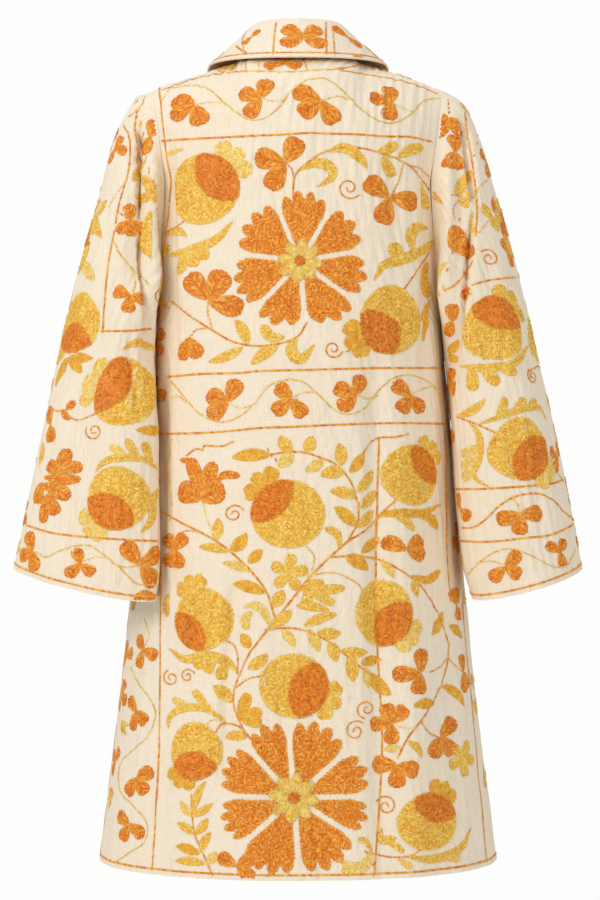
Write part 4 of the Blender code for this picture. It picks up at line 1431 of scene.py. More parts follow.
def finish_surface(cloth, seed):
    """Puckers, swells and turned edges, fading out at the seams."""
    across, along = cloth.across, cloth.along
    edge = np.minimum(across, across[:, -1:] - across)
    if cloth.loop:
        edge = np.full(across.shape, 1.0)
    from_start, from_end = along, along[-1:] - along
    at_seam = from_start if cloth.loop or cloth.name == "collar" else from_end
    quiet = ease(np.minimum(edge / 0.012, at_seam / 0.012))
    depth = PUCKER_DEPTH * (0.5 if cloth.name == "collar" else 1.0)
    ripple = uneven(across, along, PUCKER_SPACING, PUCKER_RUN, seed + 11) * depth
    ripple += uneven(across, along, SWELL_SPACING, 0.5, seed + 31) * SWELL_DEPTH * (cloth.name != "collar")
    free = from_end if cloth.loop or cloth.name == "collar" else from_start
    turn = EDGE_RISE * (1 - ease((free - EDGE_TURN * 0.8) / (EDGE_TURN * 0.4)))
    if cloth.name.startswith("front"):
        turn = np.maximum(turn, EDGE_RISE * (1 - ease((across - EDGE_TURN * 0.8) / (EDGE_TURN * 0.4))))
    cloth.grid = cloth.grid + cloth.normal * (ripple * quiet + turn - EDGE_RISE * 0.5)[..., None]
    cloth.refresh()


def mesh_object(name, verts, faces, materials, smooth=True):
    """A mesh object from an array of points and an array of triangles or quads."""
    data = bpy.data.meshes.new(name)
    sizes = np.full(len(faces), faces.shape[1])
    data.vertices.add(len(verts))
    data.vertices.foreach_set("co", verts.astype(np.float32).ravel())
    data.loops.add(faces.size)
    data.loops.foreach_set("vertex_index", faces.astype(np.int32).ravel())
    data.polygons.add(len(faces))
    data.polygons.foreach_set("loop_start", (np.cumsum(sizes) - sizes).astype(np.int32))
    data.update(calc_edges=True)
    data.validate()
    for material in materials:
        data.materials.append(material)
    piece = bpy.data.objects.new(name, data)
    bpy.context.scene.collection.objects.link(piece)
    if smooth:
        data.shade_smooth()
    return piece


def cloth_object(cloth, thickness, material):
    """A thin wall of cloth whose outer face is the lattice."""
    rows, columns = cloth.grid.shape[:2]
    last = columns - 1 if cloth.loop else columns
    outer = cloth.grid[:, :last].reshape(-1, 3)
    inner = (cloth.grid - cloth.normal * thickness)[:, :last].reshape(-1, 3)
    index = np.arange(rows * last).reshape(rows, last)
    right = np.roll(index, -1, axis=1) if cloth.loop else index[:, 1:]
    left = index if cloth.loop else index[:, :-1]
    quads = np.stack([left[:-1], right[:-1], right[1:], left[1:]], axis=-1).reshape(-1, 4)
    if cloth.out < 0:
        quads = quads[:, ::-1]
    far = len(outer)
    faces = [quads, quads[:, ::-1] + far]

    def wall(line, flip):
        a, b = line[:-1], line[1:]
        strip = np.stack([a, b, b + far, a + far], axis=-1)
        faces.append(strip[:, ::-1] if flip != (cloth.out < 0) else strip)

    first, final = index[0], index[-1]
    if cloth.loop:
        first, final = np.append(first, first[0]), np.append(final, final[0])
    wall(first, True)
    wall(final, False)
    if not cloth.loop:
        wall(index[:, 0], False)
        wall(index[:, -1], True)
    faces = np.concatenate(faces)
    piece = mesh_object(cloth.name + "_cloth", np.concatenate([outer, inner]), faces, [material])
    places = np.stack([cloth.across - cloth.across[:, -1:] / 2, cloth.along], axis=2)[:, :last].reshape(-1, 2)
    places = np.concatenate([places, places])
    layer = piece.data.uv_layers.new(name="cloth")
    layer.data.foreach_set("uv", places[faces.ravel()].astype(np.float32).ravel())
    piece.data.set_sharp_from_angle(angle=math.radians(62))
    return piece


# A stitch is a small ridge: two pointed ends, two sides and a raised back of two points
STITCH_SHAPE = np.array(
    [[0.0, 0.0, 0.0], [0.5, -0.5, 0.0], [0.5, 0.5, 0.0], [1.0, 0.0, 0.0], [0.28, 0.0, 1.0], [0.72, 0.0, 1.0]]
)
STITCH_FACES = np.array([[0, 1, 4], [1, 5, 4], [1, 3, 5], [0, 4, 2], [4, 5, 2], [5, 3, 2]])
STITCH_FOOT = 0.00025


def thread_layers(piece, faces, verts_each, along, across, tone, faces_each):
    """Each stitch's colour number and shade, and a map of lengths along and across the thread."""
    count = len(tone)
    piece.data.polygons.foreach_set("material_index", np.repeat(tone, faces_each).astype(np.int32))
    shade = piece.data.attributes.new("thread", "FLOAT", "POINT")
    shade.data.foreach_set("value", np.repeat(rng.uniform(0, 1, count), verts_each).astype(np.float32))
    layer = piece.data.uv_layers.new(name="thread")
    places = np.stack([along, across], axis=1)
    layer.data.foreach_set("uv", places[faces.ravel()].astype(np.float32).ravel())


def stitch_object(work, materials):
    """All the stitches of one piece of cloth as one mesh."""
    starts, ends, width, lift, tone = (np.concatenate([part[n] for part in work.parts]) for n in range(5))
    cloth = work.cloth
    a, b = cloth.sample(cloth.grid, starts), cloth.sample(cloth.grid, ends)
    middle = cloth.sample(cloth.grid, (starts + ends) / 2)
    normal = cloth.sample(cloth.normal, (starts + ends) / 2)
    normal /= np.linalg.norm(normal, axis=1, keepdims=True)
    way = b - a
    length = np.linalg.norm(way, axis=1, keepdims=True)
    sane = (length[:, 0] < LONGEST_STITCH) & (length[:, 0] > 0.0006)
    side = np.cross(normal, way / np.maximum(length, 1e-9))
    share, aside, up = STITCH_SHAPE.T
    spine = (
        a[:, None] * ((1 - share) * (1 - 2 * share))[None, :, None]
        + middle[:, None] * (4 * share * (1 - share))[None, :, None]
        + b[:, None] * (share * (2 * share - 1))[None, :, None]
    )
    rise = (up[None] * lift[:, None] + STITCH_FOOT * (up == 0))[..., None]
    verts = spine + side[:, None] * (aside[None] * width[:, None])[..., None] + normal[:, None] * rise
    verts, tone = verts[sane], tone[sane]
    count = len(verts)
    faces = (STITCH_FACES[None] + 6 * np.arange(count)[:, None, None]).reshape(-1, 3)
    piece = mesh_object(work.cloth.name + "_needlework", verts.reshape(-1, 3), faces, materials)
    along = (length[sane] * share[None]).reshape(-1)
    across = np.tile(aside, count) * 0.0018
    thread_layers(piece, faces, 6, along, across, tone, 6)
    return piece


def bed_object(work, materials):
    """All the laid threads of one piece of cloth as one mesh of flat strips."""
    starts, ends, width, lift, tone = (np.concatenate([part[n] for part in work.beds]) for n in range(5))
    cloth = work.cloth
    a, b = cloth.sample(cloth.grid, starts), cloth.sample(cloth.grid, ends)
    length = np.linalg.norm(b - a, axis=1)
    sane = (length < LONGEST_STITCH) & (length > 0.0004)
    normals = [cloth.sample(cloth.normal, at) for at in (starts, ends)]
    side = np.cross(normals[0] + normals[1], b - a)
    side *= (width / np.maximum(np.linalg.norm(side, axis=1), 1e-12) / 2)[:, None]
    a = a + normals[0] * lift[:, None]
    b = b + normals[1] * lift[:, None]
    verts = np.stack([a - side, b - side, b + side, a + side], axis=1)[sane]
    tone, length = tone[sane], length[sane]
    faces = np.arange(len(verts) * 4).reshape(-1, 4)
    name = work.cloth.name + "_needlework_bed"
    piece = mesh_object(name, verts.reshape(-1, 3), faces, materials, smooth=False)
    along = (length[:, None] * np.array([0.0, 1.0, 1.0, 0.0])).reshape(-1)
    across = np.tile([-0.001, -0.001, 0.001, 0.001], len(verts))
    thread_layers(piece, faces, 4, along, across, tone, 1)
    return piece


def embroider(works):
    """Lays every motif of the plan on the piece that shows at its place."""
    seen = [works[n] for n in ("back", "sleeve_left", "sleeve_right", "collar")]

    def at(px, py):
        return Spot(*spot_of(seen, px, py))

    def taken(motif, size):
        """A motif's spot, with the cloth round it marked as taken."""
        spot = at(motif.px, motif.py)
        spot.work.note(spot.place, size * PIXEL)
        return spot

    for f in FRUITS:
        spot = taken(f, f.wide * 1.25)
        fruit(spot, f.wide * PIXEL, f.high * PIXEL, f.crown, f.crown_tone, f.blush, f.offset)
    for r in ROSETTES:
        rosette(taken(r, r.radius), r.radius * PIXEL, r.gaps)
    for c in CLOVERS:
        clover(taken(c, c.size), c.size * PIXEL, c.lobes)
    for s in STARS:
        star(taken(s, s.size), s.size * PIXEL, s.turn, s.tone)
    for leaf in LEAVES:
        spot = at((leaf.x0 + leaf.x1) / 2, (leaf.y0 + leaf.y1) / 2)
        ends, _ = spot.work.find([(leaf.x0, leaf.y0), (leaf.x1, leaf.y1)])
        foot, tip = spot.unlay(ends)
        wanted = math.hypot(leaf.x1 - leaf.x0, leaf.y1 - leaf.y0)
        if np.linalg.norm(tip - foot) / PIXEL > STRETCH_LIMIT * wanted:
            continue
        bent_leaf(spot, foot, tip, leaf.width * PIXEL, leaf.bend, leaf.tone)
        spot.work.note(spot.place, wanted / 2 * PIXEL)
    for frond in FRONDS:
        spot = at(*frond.points[len(frond.points) // 2])
        places, misses = spot.work.find(curved(frond.points))
        spine = spot.unlay(places[misses < FROND_MISS])
        if len(spine) < 4:
            continue
        wanted = sum(math.dist(p, q) for p, q in zip(frond.points, frond.points[1:]))
        if lengths(spine)[-1] / PIXEL > STRETCH_LIMIT * wanted:
            continue
        t = np.linspace(0, 1, len(spine))
        half = frond.width * PIXEL / 2 * np.sin(math.pi * t**0.9) ** 0.8
        if len(frond.points) == 3:
            half = frond.width * PIXEL * 1.06 * (t * (1 - t)) ** 0.45 * (0.62 + 0.5 * t)
        spot.leaf(spine, half, frond.tone)
        spot.work.note(spot.place, math.dist(frond.points[0], frond.points[-1]) / 2 * PIXEL)
    for c in CURLS:
        spiral(at(c.px, c.py), c.size * PIXEL, c.turn, c.hand)
    for stem in STEMS:
        work, _ = spot_of(seen, *stem.points[len(stem.points) // 2])
        places, misses = work.find(curved(stem.points))
        lay_line(work, places[misses < LINE_MISS], stem.tone, THREAD_LINE * stem.width)


def spiral(spot, size, turn, hand):
    """A tendril that winds in on itself."""
    t = np.linspace(0, 1, 40)
    angle = t * 2 * math.pi * 1.35
    reach = size * (1 - 0.80 * t)
    points = np.stack([np.sin(angle) * reach * hand, -np.cos(angle) * reach], axis=1)
    spot.tendril(turned(points, turn), ORANGE)


def lay_line(work, places, tone, width):
    """Slanted stitches along a line of rows and columns, however far it runs over the cloth."""
    if len(places) < 2:
        return
    cloth = work.cloth
    along = lengths(cloth.point(places))
    count = max(2, int(along[-1] / LINE_SPACING))
    line = places_at(np.linspace(0, along[-1], count), along, places)
    spots = [cloth.chart(p) for p in line[:: max(1, count // 24)]]
    pick = np.minimum(np.arange(count) // max(1, count // 24), len(spots) - 1)
    matrix = np.array(spots)[pick]
    back_to = np.linalg.inv(matrix)
    step = np.gradient(line, axis=0)
    way = unit(np.einsum("nij,nj->ni", back_to, step))
    half = np.einsum("nij,nj->ni", matrix, LINE_STITCH / 2 * (way + sideways(way) * 0.30))
    work.add(line - half, line + half, width, CORD_LIFT, tone)
    for p in line[:: max(1, count // 12)]:
        work.note(p, 0.004)


def level_line(work, z, tone, width, wave=0.0):
    """A line across a piece at one height, or a wave about it."""
    cloth = work.cloth
    rows, columns = cloth.flat.shape[:2]
    places = []
    for k in np.linspace(2, columns - 3, 170):
        ladder = np.stack([np.arange(rows), np.full(rows, k)], axis=1)
        heights = cloth.value(cloth.flat[..., 2], ladder)
        across = cloth.value(cloth.across, np.array([rows / 3, k]))
        want = z + wave * math.sin(across / WAVE_PERIOD * 2 * math.pi)
        places.append((np.interp(want, heights, np.arange(rows)), k))
    lay_line(work, np.array(places), tone, width)


def edge_line(work, edge, inset, tone, width):
    """A line along one edge of a piece, this far in from it."""
    cloth = work.cloth
    rows, columns = cloth.flat.shape[:2]
    places = []
    if edge in ("first", "last"):
        for k in np.linspace(0, columns - 1.01, 220):
            ladder = np.stack([np.arange(rows), np.full(rows, k)], axis=1)
            length = cloth.value(cloth.along, ladder)
            at = inset if edge == "first" else length[-1] - inset
            places.append((np.interp(at, length, np.arange(rows)), k))
    else:
        for i in np.linspace(0, rows - 1.01, 220):
            ladder = np.stack([np.full(columns, i), np.arange(columns)], axis=1)
            length = cloth.value(cloth.across, ladder)
            at = inset if edge == "left" else length[-1] - inset
            places.append((i, np.interp(at, length, np.arange(columns))))
    lay_line(work, np.array(places), tone, width)


def bare_places(work, size, tries, seed, where):
    """Places on bare cloth that are clear of all needlework laid so far, and of the edges."""
    chance = np.random.default_rng(seed)
    cloth = work.cloth
    rows, columns = cloth.flat.shape[:2]
    found = []
    for row, column in chance.uniform(0, 1, (tries, 2)):
        place = np.array([row * (rows - 1), column * (columns - 1)])
        if not where(work, place):
            continue
        point = cloth.point(place)
        along = cloth.value(cloth.along, place)
        length = cloth.value(cloth.along, np.array([rows - 1.0, place[1]]))
        across = cloth.value(cloth.across, place)
        width = cloth.value(cloth.across, np.array([place[0], columns - 1.01]))
        if min(along, length - along) < size * 1.15:
            continue
        if not cloth.loop and min(across, width - across) < size * 1.15:
            continue
        if all(np.linalg.norm(point - p) > r + size for p, r in work.spots):
            work.spots.append((point, size))
            found.append(place)
    return found


def sprig(spot, size, turn, kind):
    """A small motif: three lobes, a five-lobed flower, or three leaves that fork from one place."""
    if kind == 0:
        clover(spot, size, (turn, turn + 82, turn + 190))
    elif kind == 1:
        star(spot, size * 0.9, turn, GOLD)
    else:
        foot = turned(np.array([[0.0, size * 0.9]]), turn)[0]
        for lean, reach, tone in ((-34, 1.5, GOLD), (30, 1.2, AMBER), (2, 1.7, GOLD)):
            tip = foot + turned(np.array([[0.0, -size * reach]]), turn + lean)[0]
            bent_leaf(spot, foot, tip, size * 0.46, 0.06, tone)


def vine(works, points, view, seed):
    """A stem through points of a view, with leaves to either side."""
    chance = np.random.default_rng(seed)
    work, _ = spot_of(works, *points[len(points) // 2], view)
    places, misses = work.find(curved(points), view)
    places = places[misses < LINE_MISS]
    if len(places) < 3:
        return
    lay_line(work, places, ORANGE, THREAD_LINE * 1.4)
    along = lengths(work.cloth.point(places))
    hand = 1
    for stop in np.arange(LEAF_EVERY * 0.6, along[-1], LEAF_EVERY):
        place, after = places_at(np.array([stop, stop + 0.004]), along, places)
        spot = Spot(work, place, view)
        way = spot.unlay(after)
        turn = math.degrees(math.atan2(way[0], -way[1])) + hand * chance.uniform(38, 60)
        length = LEAF_LENGTH * chance.uniform(0.8, 1.2)
        tip = turned(np.array([[0.0, -length]]), turn)[0]
        pick = GOLD if chance.uniform() < 0.7 else AMBER
        bent_leaf(spot, (0.0, 0.0), tip, length * 0.42, 0.08 * hand, pick)
        work.note(place, length * 0.8)
        hand = -hand


# The front isn't in the photograph: it carries the same kinds of motif, alike on both sides. Across is
# measured from the front edges' middle line outward, and all sizes are in pixels as above.
FRONT_MOTIFS = table(
    "kind across py size turn",
    ("fruit", 66, 196, 30, 40),
    ("trefoil", 112, 150, 16, 20),
    ("trefoil", 32, 262, 16, 340),
    ("rosette", 80, 318, 56, 0),
    ("trefoil", 45, 400, 16, 10),
    ("trefoil", 112, 402, 16, 190),
    ("fruit", 56, 486, 31, 330),
    ("star", 128, 476, 18, 0),
    ("fruit", 120, 566, 29, 60),
    ("trefoil", 46, 584, 18, 100),
    ("fruit", 66, 664, 31, 120),
    ("trefoil", 136, 662, 17, 250),
    ("rosette", 92, 786, 62, 22),
    ("trefoil", 38, 716, 14, 60),
    ("trefoil", 168, 740, 15, 20),
    ("fruit", 176, 812, 22, 20),
    ("fruit", 214, 238, 26, 25),
    ("trefoil", 178, 170, 15, 20),
    ("trefoil", 178, 300, 15, 200),
    ("fruit", 236, 340, 26, 300),
    ("trefoil", 196, 374, 15, 20),
    ("fruit", 206, 442, 26, 140),
    ("trefoil", 244, 410, 15, 200),
    ("trefoil", 246, 480, 14, 20),
    ("trefoil", 184, 508, 13, 10),
    ("trefoil", 208, 548, 13, 190),
    ("trefoil", 250, 538, 13, 20),
)
FRONT_GAPS = (0, 48, 92, 136, 182, 230, 272, 318)
FRONT_VINES = (
    ((98, 196), (122, 214), (138, 250), (146, 300)),
    ((30, 360), (20, 330), (22, 290), (30, 250), (36, 226)),
    ((88, 470), (112, 500), (92, 540), (66, 566)),
    ((150, 500), (168, 540), (164, 590), (150, 632)),
    ((26, 500), (22, 560), (26, 620), (30, 660)),
    ((100, 640), (112, 614), (100, 590)),
    ((98, 690), (130, 704), (150, 716)),
    ((188, 640), (196, 690), (206, 740), (212, 790)),
    ((196, 208), (192, 180), (206, 150)),
    ((212, 268), (226, 290), (230, 312)),
    ((228, 368), (214, 392), (210, 412)),
)


def embroider_front(works):
    """The fronts' and the sleeve fronts' needlework."""
    seen = [works[n] for n in ("front_left", "front_right", "sleeve_left", "sleeve_right")]
    for side in (1, -1):
        for number, m in enumerate(FRONT_MOTIFS):
            work, place = spot_of(seen, FRONT_MIDDLE + side * m.across, m.py, "front")
            spot = Spot(work, place, "front")
            size, turn = m.size * PIXEL, m.turn * side
            if m.kind == "fruit":
                blush = turn - 10 * side
                crown_tone = STRAW if number % 2 else GOLD
                fruit(spot, size, size, turn % 360, crown_tone, blush, 0.90 + 0.04 * (number % 4))
            elif m.kind == "rosette":
                rosette(spot, size, [turn + gap for gap in FRONT_GAPS])
            elif m.kind == "star":
                star(spot, size, turn, ORANGE)
            else:
                clover(spot, size * 1.2, (turn, turn + 84, turn + 188))
            work.note(place, size * 1.15)
        for number, line in enumerate(FRONT_VINES):
            vine(seen, [(FRONT_MIDDLE + side * x, y) for x, y in line], "front", seed=60 + number)


# Where the lines run: how far in from free edges and from seams, and the waist band with its wave
EDGE_INSET = 0.0070
SEAM_INSET = 0.0085
BAND_HEIGHTS = (-0.3930, -0.4610)
WAVE_HEIGHT = -0.427
WAVE_SWING = 0.016


def trim(works):
    """The lines and bands that run all round."""
    for name in ("back", "front_left", "front_right"):
        edge_line(works[name], "first", EDGE_INSET, ORANGE, THREAD_LINE * 1.5)
    edge_line(works["back"], "right", SEAM_INSET, ORANGE, THREAD_LINE * 1.4)
    for name in ("front_left", "front_right"):
        edge_line(works[name], "left", EDGE_INSET, ORANGE, THREAD_LINE * 1.5)
        edge_line(works[name], "right", SEAM_INSET, ORANGE, THREAD_LINE * 1.4)
        for z in BAND_HEIGHTS:
            level_line(works[name], z, ORANGE, THREAD_LINE * 1.5)
        level_line(works[name], WAVE_HEIGHT, GOLD, THREAD_LINE * 1.1, wave=WAVE_SWING)
    for name in ("sleeve_left", "sleeve_right"):
        edge_line(works[name], "last", EDGE_INSET, ORANGE, THREAD_LINE * 1.5)
    edge_line(works["collar"], "last", EDGE_INSET, ORANGE, THREAD_LINE * 1.4)


def on_hidden_side(work, place):
    """Whether a place is one that the photograph doesn't show well."""
    facing = work.views["back"][2]
    i, k = int(round(place[0])), int(round(place[1]))
    return facing[min(i, facing.shape[0] - 1), min(k, facing.shape[1] - 1)] < 0.28


def scatter(works):
    """Sprigs on bare cloth of the sides, the fronts and the undersides."""
    for number, (name, work) in enumerate(works.items()):
        if name == "collar":
            for size, kind in ((0.0165, 1), (0.0120, 0)):
                for n, place in enumerate(bare_places(work, size, 260, 90 + kind, on_fall)):
                    sprig(Spot(work, place), size, 40 * n, kind)
            continue
        for size, kind in ((0.021, 0), (0.018, 2), (0.013, 2)):
            for n, place in enumerate(bare_places(work, size, 420, 7 * number + kind, on_hidden_side)):
                sprig(Spot(work, place), size, (37 * n + 20) % 360, kind)


def on_fall(work, place):
    """Whether a place lies on the collar's fall, which is what shows."""
    cloth = work.cloth
    whole = cloth.value(cloth.along, np.array([LATTICE["collar"][0] - 1.0, place[1]]))
    return cloth.value(cloth.along, place) > whole - 0.055


class Nodes:
    """A node tree with helpers that add nodes and join them."""

    def __init__(self, tree):
        self.tree = tree

    def put(self, socket, value):
        if isinstance(value, bpy.types.NodeSocket):
            self.tree.links.new(value, socket)
        else:
            socket.default_value = value

    def add(self, kind, inputs, out=0, **settings):
        made = self.tree.nodes.new("ShaderNode" + kind)
        for key, value in settings.items():
            setattr(made, key, value)
        for key, value in inputs.items():
            self.put(made.inputs[key], value)
        return made.outputs[out]

    def math(self, operation, a, b=0.0):
        return self.add("Math", {0: a, 1: b}, operation=operation)

    def noise(self, vector, scale, detail=3.0, roughness=0.55, distortion=0.0):
        inputs = {"Vector": vector, "Scale": scale, "Detail": detail}
        inputs.update({"Roughness": roughness, "Distortion": distortion})
        return self.add("TexNoise", inputs)

    def spread(self, value, low, high, to_low=0.0, to_high=1.0):
        return self.add("MapRange", {0: value, 1: low, 2: high, 3: to_low, 4: to_high})

    def stretched(self, vector, x, y):
        return self.add("VectorMath", {0: vector, 1: (x, y, 1.0)}, operation="MULTIPLY")

    def mix(self, share, a, b):
        return self.add("Mix", {0: share, 6: a, 7: b}, out=2, data_type="RGBA")

    def bump(self, height, strength, distance, normal=None):
        inputs = {"Strength": strength, "Distance": distance, "Height": height}
        if normal is not None:
            inputs["Normal"] = normal
        return self.add("Bump", inputs)

    def weave(self, vector, pitch):
        """The height of a plain weave of that thread pitch."""
        parts = self.tree.nodes.new("ShaderNodeSeparateXYZ")
        self.put(parts.inputs[0], vector)
        sines = []
        for axis in (0, 1):
            turn = self.math("MULTIPLY", parts.outputs[axis], math.pi / pitch)
            sines.append(self.math("SINE", turn))
        over = self.math("MULTIPLY", sines[0], sines[1])
        over = self.math("MULTIPLY_ADD", over, 0.5)
        over.node.inputs[2].default_value = 0.5
        warp = self.math("MULTIPLY", self.math("ABSOLUTE", sines[0]), over)
        weft = self.math("MULTIPLY", self.math("ABSOLUTE", sines[1]), self.math("SUBTRACT", 1.0, over))
        return self.math("ADD", warp, weft)


class Shader(Nodes):
    """A material, with its surface shader at hand."""

    def __init__(self, name):
        self.material = bpy.data.materials.new(name)
        self.material.use_nodes = True
        super().__init__(self.material.node_tree)
        self.surface = self.tree.nodes["Principled BSDF"]


WEAVE_PITCH = 0.00060


# Painted shade: cloth between close folds is darkened towards this warm tint, standing in for shade and the
# light it picks up from the thread and cloth beside it
PAINTED_SHADE_TINT = (0.84, 0.70, 0.52)


def cotton(name, light, shade, warm):
    """Cream cotton: a slubby plain weave, crinkled, a little yellowed and uneven, with painted shade in its
    hollows and in the weave's gaps.
    """
    s = Shader(name)
    place = s.add("UVMap", {}, uv_map="cloth")
    drift = s.add("TexNoise", {"Vector": place, "Scale": 40.0}, out=1)
    warped = s.add("VectorMath", {0: place, 1: s.stretched(drift, 0.0006, 0.0006)}, operation="ADD")
    threads = s.weave(warped, WEAVE_PITCH)
    slub_up = s.noise(s.stretched(place, 1.0, 0.035), 1100.0, 2.0)
    slub_across = s.noise(s.stretched(place, 0.035, 1.0), 1100.0, 2.0)
    slub = s.math("MULTIPLY", s.math("ADD", slub_up, slub_across), 0.5)
    crinkle = s.noise(s.stretched(place, 1.0, 0.22), 190.0, 4.0, 0.62, 0.5)
    rumple = s.noise(s.stretched(place, 1.0, 0.45), 52.0, 3.0, 0.55, 0.4)
    patch = s.noise(place, 6.0, 4.0)
    colour = s.mix(s.spread(slub, 0.30, 0.56), shade, light)
    colour = s.mix(s.spread(patch, 0.40, 0.78, 0.0, 0.45), colour, warm)
    # Painted shade: the colour is darkened in the weave's gaps between threads
    gaps = s.spread(threads, 0.05, 0.75, 0.90, 1.0)
    colour = s.add("VectorMath", {0: colour, 1: gaps}, operation="MULTIPLY")
    # Painted shade: ambient occlusion darkens and warms the cloth's colour in creases, close folds and
    # hollows
    painted_shade_mask = s.add("AmbientOcclusion", {"Distance": 0.035}, out=1, samples=6)
    shaded_colour = s.add("VectorMath", {0: colour, 1: PAINTED_SHADE_TINT}, operation="MULTIPLY")
    colour = s.mix(s.spread(painted_shade_mask, 0.10, 0.72), shaded_colour, colour)
    rough = s.spread(s.math("ADD", slub, s.math("MULTIPLY", crinkle, 0.6)), 0.5, 1.1, 0.80, 0.95)
    normal = s.bump(rumple, 0.80, 0.0046)
    normal = s.bump(crinkle, 0.75, 0.0016, normal)
    normal = s.bump(slub, 0.35, 0.0005, normal)
    normal = s.bump(threads, 0.35, 0.0003, normal)
    s.put(s.surface.inputs["Base Color"], colour)
    s.put(s.surface.inputs["Roughness"], rough)
    s.put(s.surface.inputs["Normal"], normal)
    s.put(s.surface.inputs["Specular IOR Level"], 0.25)
    s.put(s.surface.inputs["Sheen Weight"], 0.18)
    s.put(s.surface.inputs["Sheen Roughness"], 0.55)
    return s.material


# How fast a thread's strands wind along it and across it
STRAND_RATES = (2900.0, 5200.0)


def twisted_thread():
    """The group that all threads share: twisted strands with painted shade in their grooves, fuzz, and a
    shade of its own for each stitch.
    """
    group = bpy.data.node_groups.new("twisted_thread", "ShaderNodeTree")
    for socket in ("Dark", "Light"):
        group.interface.new_socket(name=socket, in_out="INPUT", socket_type="NodeSocketColor")
    group.interface.new_socket(name="Colour", in_out="OUTPUT", socket_type="NodeSocketColor")
    for socket in ("Roughness", "Height"):
        group.interface.new_socket(name=socket, in_out="OUTPUT", socket_type="NodeSocketFloat")
    s = Nodes(group)
    tones = group.nodes.new("NodeGroupInput")
    place = s.add("UVMap", {}, uv_map="thread")
    shade = s.add("Attribute", {}, out=2, attribute_name="thread")
    parts = s.tree.nodes.new("ShaderNodeSeparateXYZ")
    s.put(parts.inputs[0], place)
    turns = [s.math("MULTIPLY", parts.outputs[axis], rate) for axis, rate in enumerate(STRAND_RATES)]
    strand = s.math("SINE", s.math("ADD", *turns))
    fuzz = s.noise(s.stretched(place, 0.25, 1.0), 2600.0, 3.0)
    mixed = s.math("ADD", shade, s.spread(fuzz, 0.3, 0.7, -0.15, 0.15))
    colour = s.mix(mixed, tones.outputs["Dark"], tones.outputs["Light"])
    # Painted shade: the thread's colour is darkened in the grooves between its twisted strands
    strand_groove_shade = s.spread(strand, -1.0, 1.0, 0.86, 1.0)
    results = group.nodes.new("NodeGroupOutput")
    s.put(results.inputs["Colour"], s.add("VectorMath", {0: colour, 1: strand_groove_shade}, operation="MULTIPLY"))
    s.put(results.inputs["Roughness"], s.spread(fuzz, 0.3, 0.7, 0.42, 0.62))
    s.put(results.inputs["Height"], s.math("ADD", strand, fuzz))
    return group


def floss(name, twist, dark, light):
    """Embroidery thread with a soft shine."""
    s = Shader(name)
    thread = s.tree.nodes.new("ShaderNodeGroup")
    thread.node_tree = twist
    s.put(thread.inputs["Dark"], dark)
    s.put(thread.inputs["Light"], light)
    s.put(s.surface.inputs["Base Color"], thread.outputs["Colour"])
    s.put(s.surface.inputs["Roughness"], thread.outputs["Roughness"])
    s.put(s.surface.inputs["Normal"], s.bump(thread.outputs["Height"], 0.4, 0.00025))
    s.put(s.surface.inputs["Specular IOR Level"], 0.28)
    return s.material


def linear(red, green, blue):
    """A screen colour of 0 to 255 as a shader's linear one."""
    return tuple(((c / 255 + 0.055) / 1.055) ** 2.4 for c in (red, green, blue)) + (1.0,)


cream = cotton("cotton_cream", linear(252, 239, 217), linear(241, 223, 195), linear(247, 226, 193))
twist = twisted_thread()
threads = [
    floss("thread_orange", twist, linear(233, 121, 8), linear(255, 194, 80)),
    floss("thread_rust", twist, linear(210, 98, 8), linear(244, 146, 44)),
    floss("thread_gold", twist, linear(243, 178, 46), linear(255, 233, 132)),
    floss("thread_amber", twist, linear(230, 154, 28), linear(254, 204, 82)),
    floss("thread_straw", twist, linear(242, 192, 84), linear(255, 236, 158)),
]

cloths = cut_cloths()
works = {name: Work(cloth) for name, cloth in cloths.items()}
embroider(works)
trim(works)
embroider_front(works)
scatter(works)

# The cut of each sheet, flat: width and length in metres, and area in square metres
CUTS = table(
    "piece width length area",
    ("back", 0.72, 1.09, 0.588),
    ("front_left", 0.31, 1.09, 0.252),
    ("front_right", 0.31, 1.09, 0.252),
    ("sleeve_left", 0.70, 0.66, 0.231),
    ("sleeve_right", 0.70, 0.66, 0.224),
    ("collar", 0.79, 0.14, 0.065),
)
for cut in CUTS:
    name = cut.piece
    piece = cloth_object(cloths[name], SHELL_COLLAR if name == "collar" else SHELL, cream)
    sewn = [stitch_object(works[name], threads), bed_object(works[name], threads)]
    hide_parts(name)
    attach(piece, "root")
    for layer in sewn:
        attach(layer, "root")


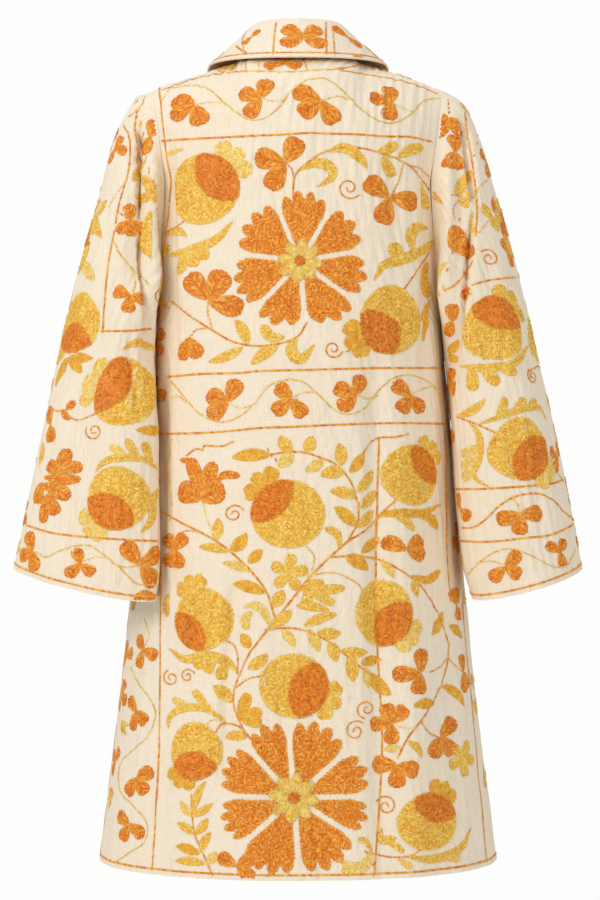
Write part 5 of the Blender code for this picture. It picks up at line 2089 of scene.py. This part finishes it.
def area_light(name, place, size, power, colour):
    """A large soft light that faces the coat's middle."""
    lamp = bpy.data.lights.new(name, "AREA")
    lamp.shape = "RECTANGLE"
    lamp.size, lamp.size_y = size
    lamp.energy = power
    lamp.color = colour
    holder = bpy.data.objects.new(name, lamp)
    holder.location = place
    aim = Vector((0.0, 0.0, -0.5)) - Vector(place)
    holder.rotation_euler = aim.to_track_quat("-Z", "Y").to_euler()
    bpy.context.scene.collection.objects.link(holder)


area_light("key", (2.5, 2.4, 1.0), (1.4, 1.4), 56.0, (1.0, 0.98, 0.95))
area_light("fill", (-2.4, 2.4, 0.2), (2.0, 2.2), 22.0, (1.0, 0.98, 0.95))
area_light("top", (0.0, 0.3, 2.4), (2.0, 2.0), 18.0, (1.0, 1.0, 1.0))
area_light("behind", (0.0, -2.8, 0.6), (2.2, 2.2), 26.0, (1.0, 0.99, 0.97))

world = bpy.data.worlds.new("studio")
bpy.context.scene.world = world
world.use_nodes = True
sky = world.node_tree
back_light = sky.nodes["Background"]
back_light.inputs["Color"].default_value = (0.985, 0.985, 0.98, 1.0)
rays = sky.nodes.new("ShaderNodeLightPath")
level = sky.nodes.new("ShaderNodeMapRange")
level.inputs[3].default_value = 0.50
level.inputs[4].default_value = 1.0
sky.links.new(rays.outputs["Is Camera Ray"], level.inputs[0])
sky.links.new(level.outputs[0], back_light.inputs["Strength"])

FLOOR_Z = -1.62
floor_shade = Shader("floor_pale")
grain = floor_shade.noise(floor_shade.add("NewGeometry", {}), 3.0)
floor_shade.put(
    floor_shade.surface.inputs["Base Color"],
    floor_shade.mix(grain, linear(244, 243, 240), linear(250, 249, 247)),
)
floor_shade.put(floor_shade.surface.inputs["Roughness"], floor_shade.spread(grain, 0.3, 0.7, 0.7, 0.85))
corners = np.array([[-2.8, -2.8, FLOOR_Z], [2.8, -2.8, FLOOR_Z], [2.8, 2.8, FLOOR_Z], [-2.8, 2.8, FLOOR_Z]])
floor = mesh_object("floor", corners, np.array([[0, 1, 2, 3]]), [floor_shade.material], smooth=False)

lens = bpy.data.cameras.new("camera")
lens.sensor_width = 36.0
lens.lens = FOCAL_PIXELS * lens.sensor_width / PHOTO_HEIGHT
camera = bpy.data.objects.new("camera", lens)
camera.location = CAMERA_AT
camera.rotation_euler = (math.pi / 2, 0.0, math.pi)
bpy.context.scene.collection.objects.link(camera)
bpy.context.scene.camera = camera
bpy.context.scene.view_settings.view_transform = "Standard"
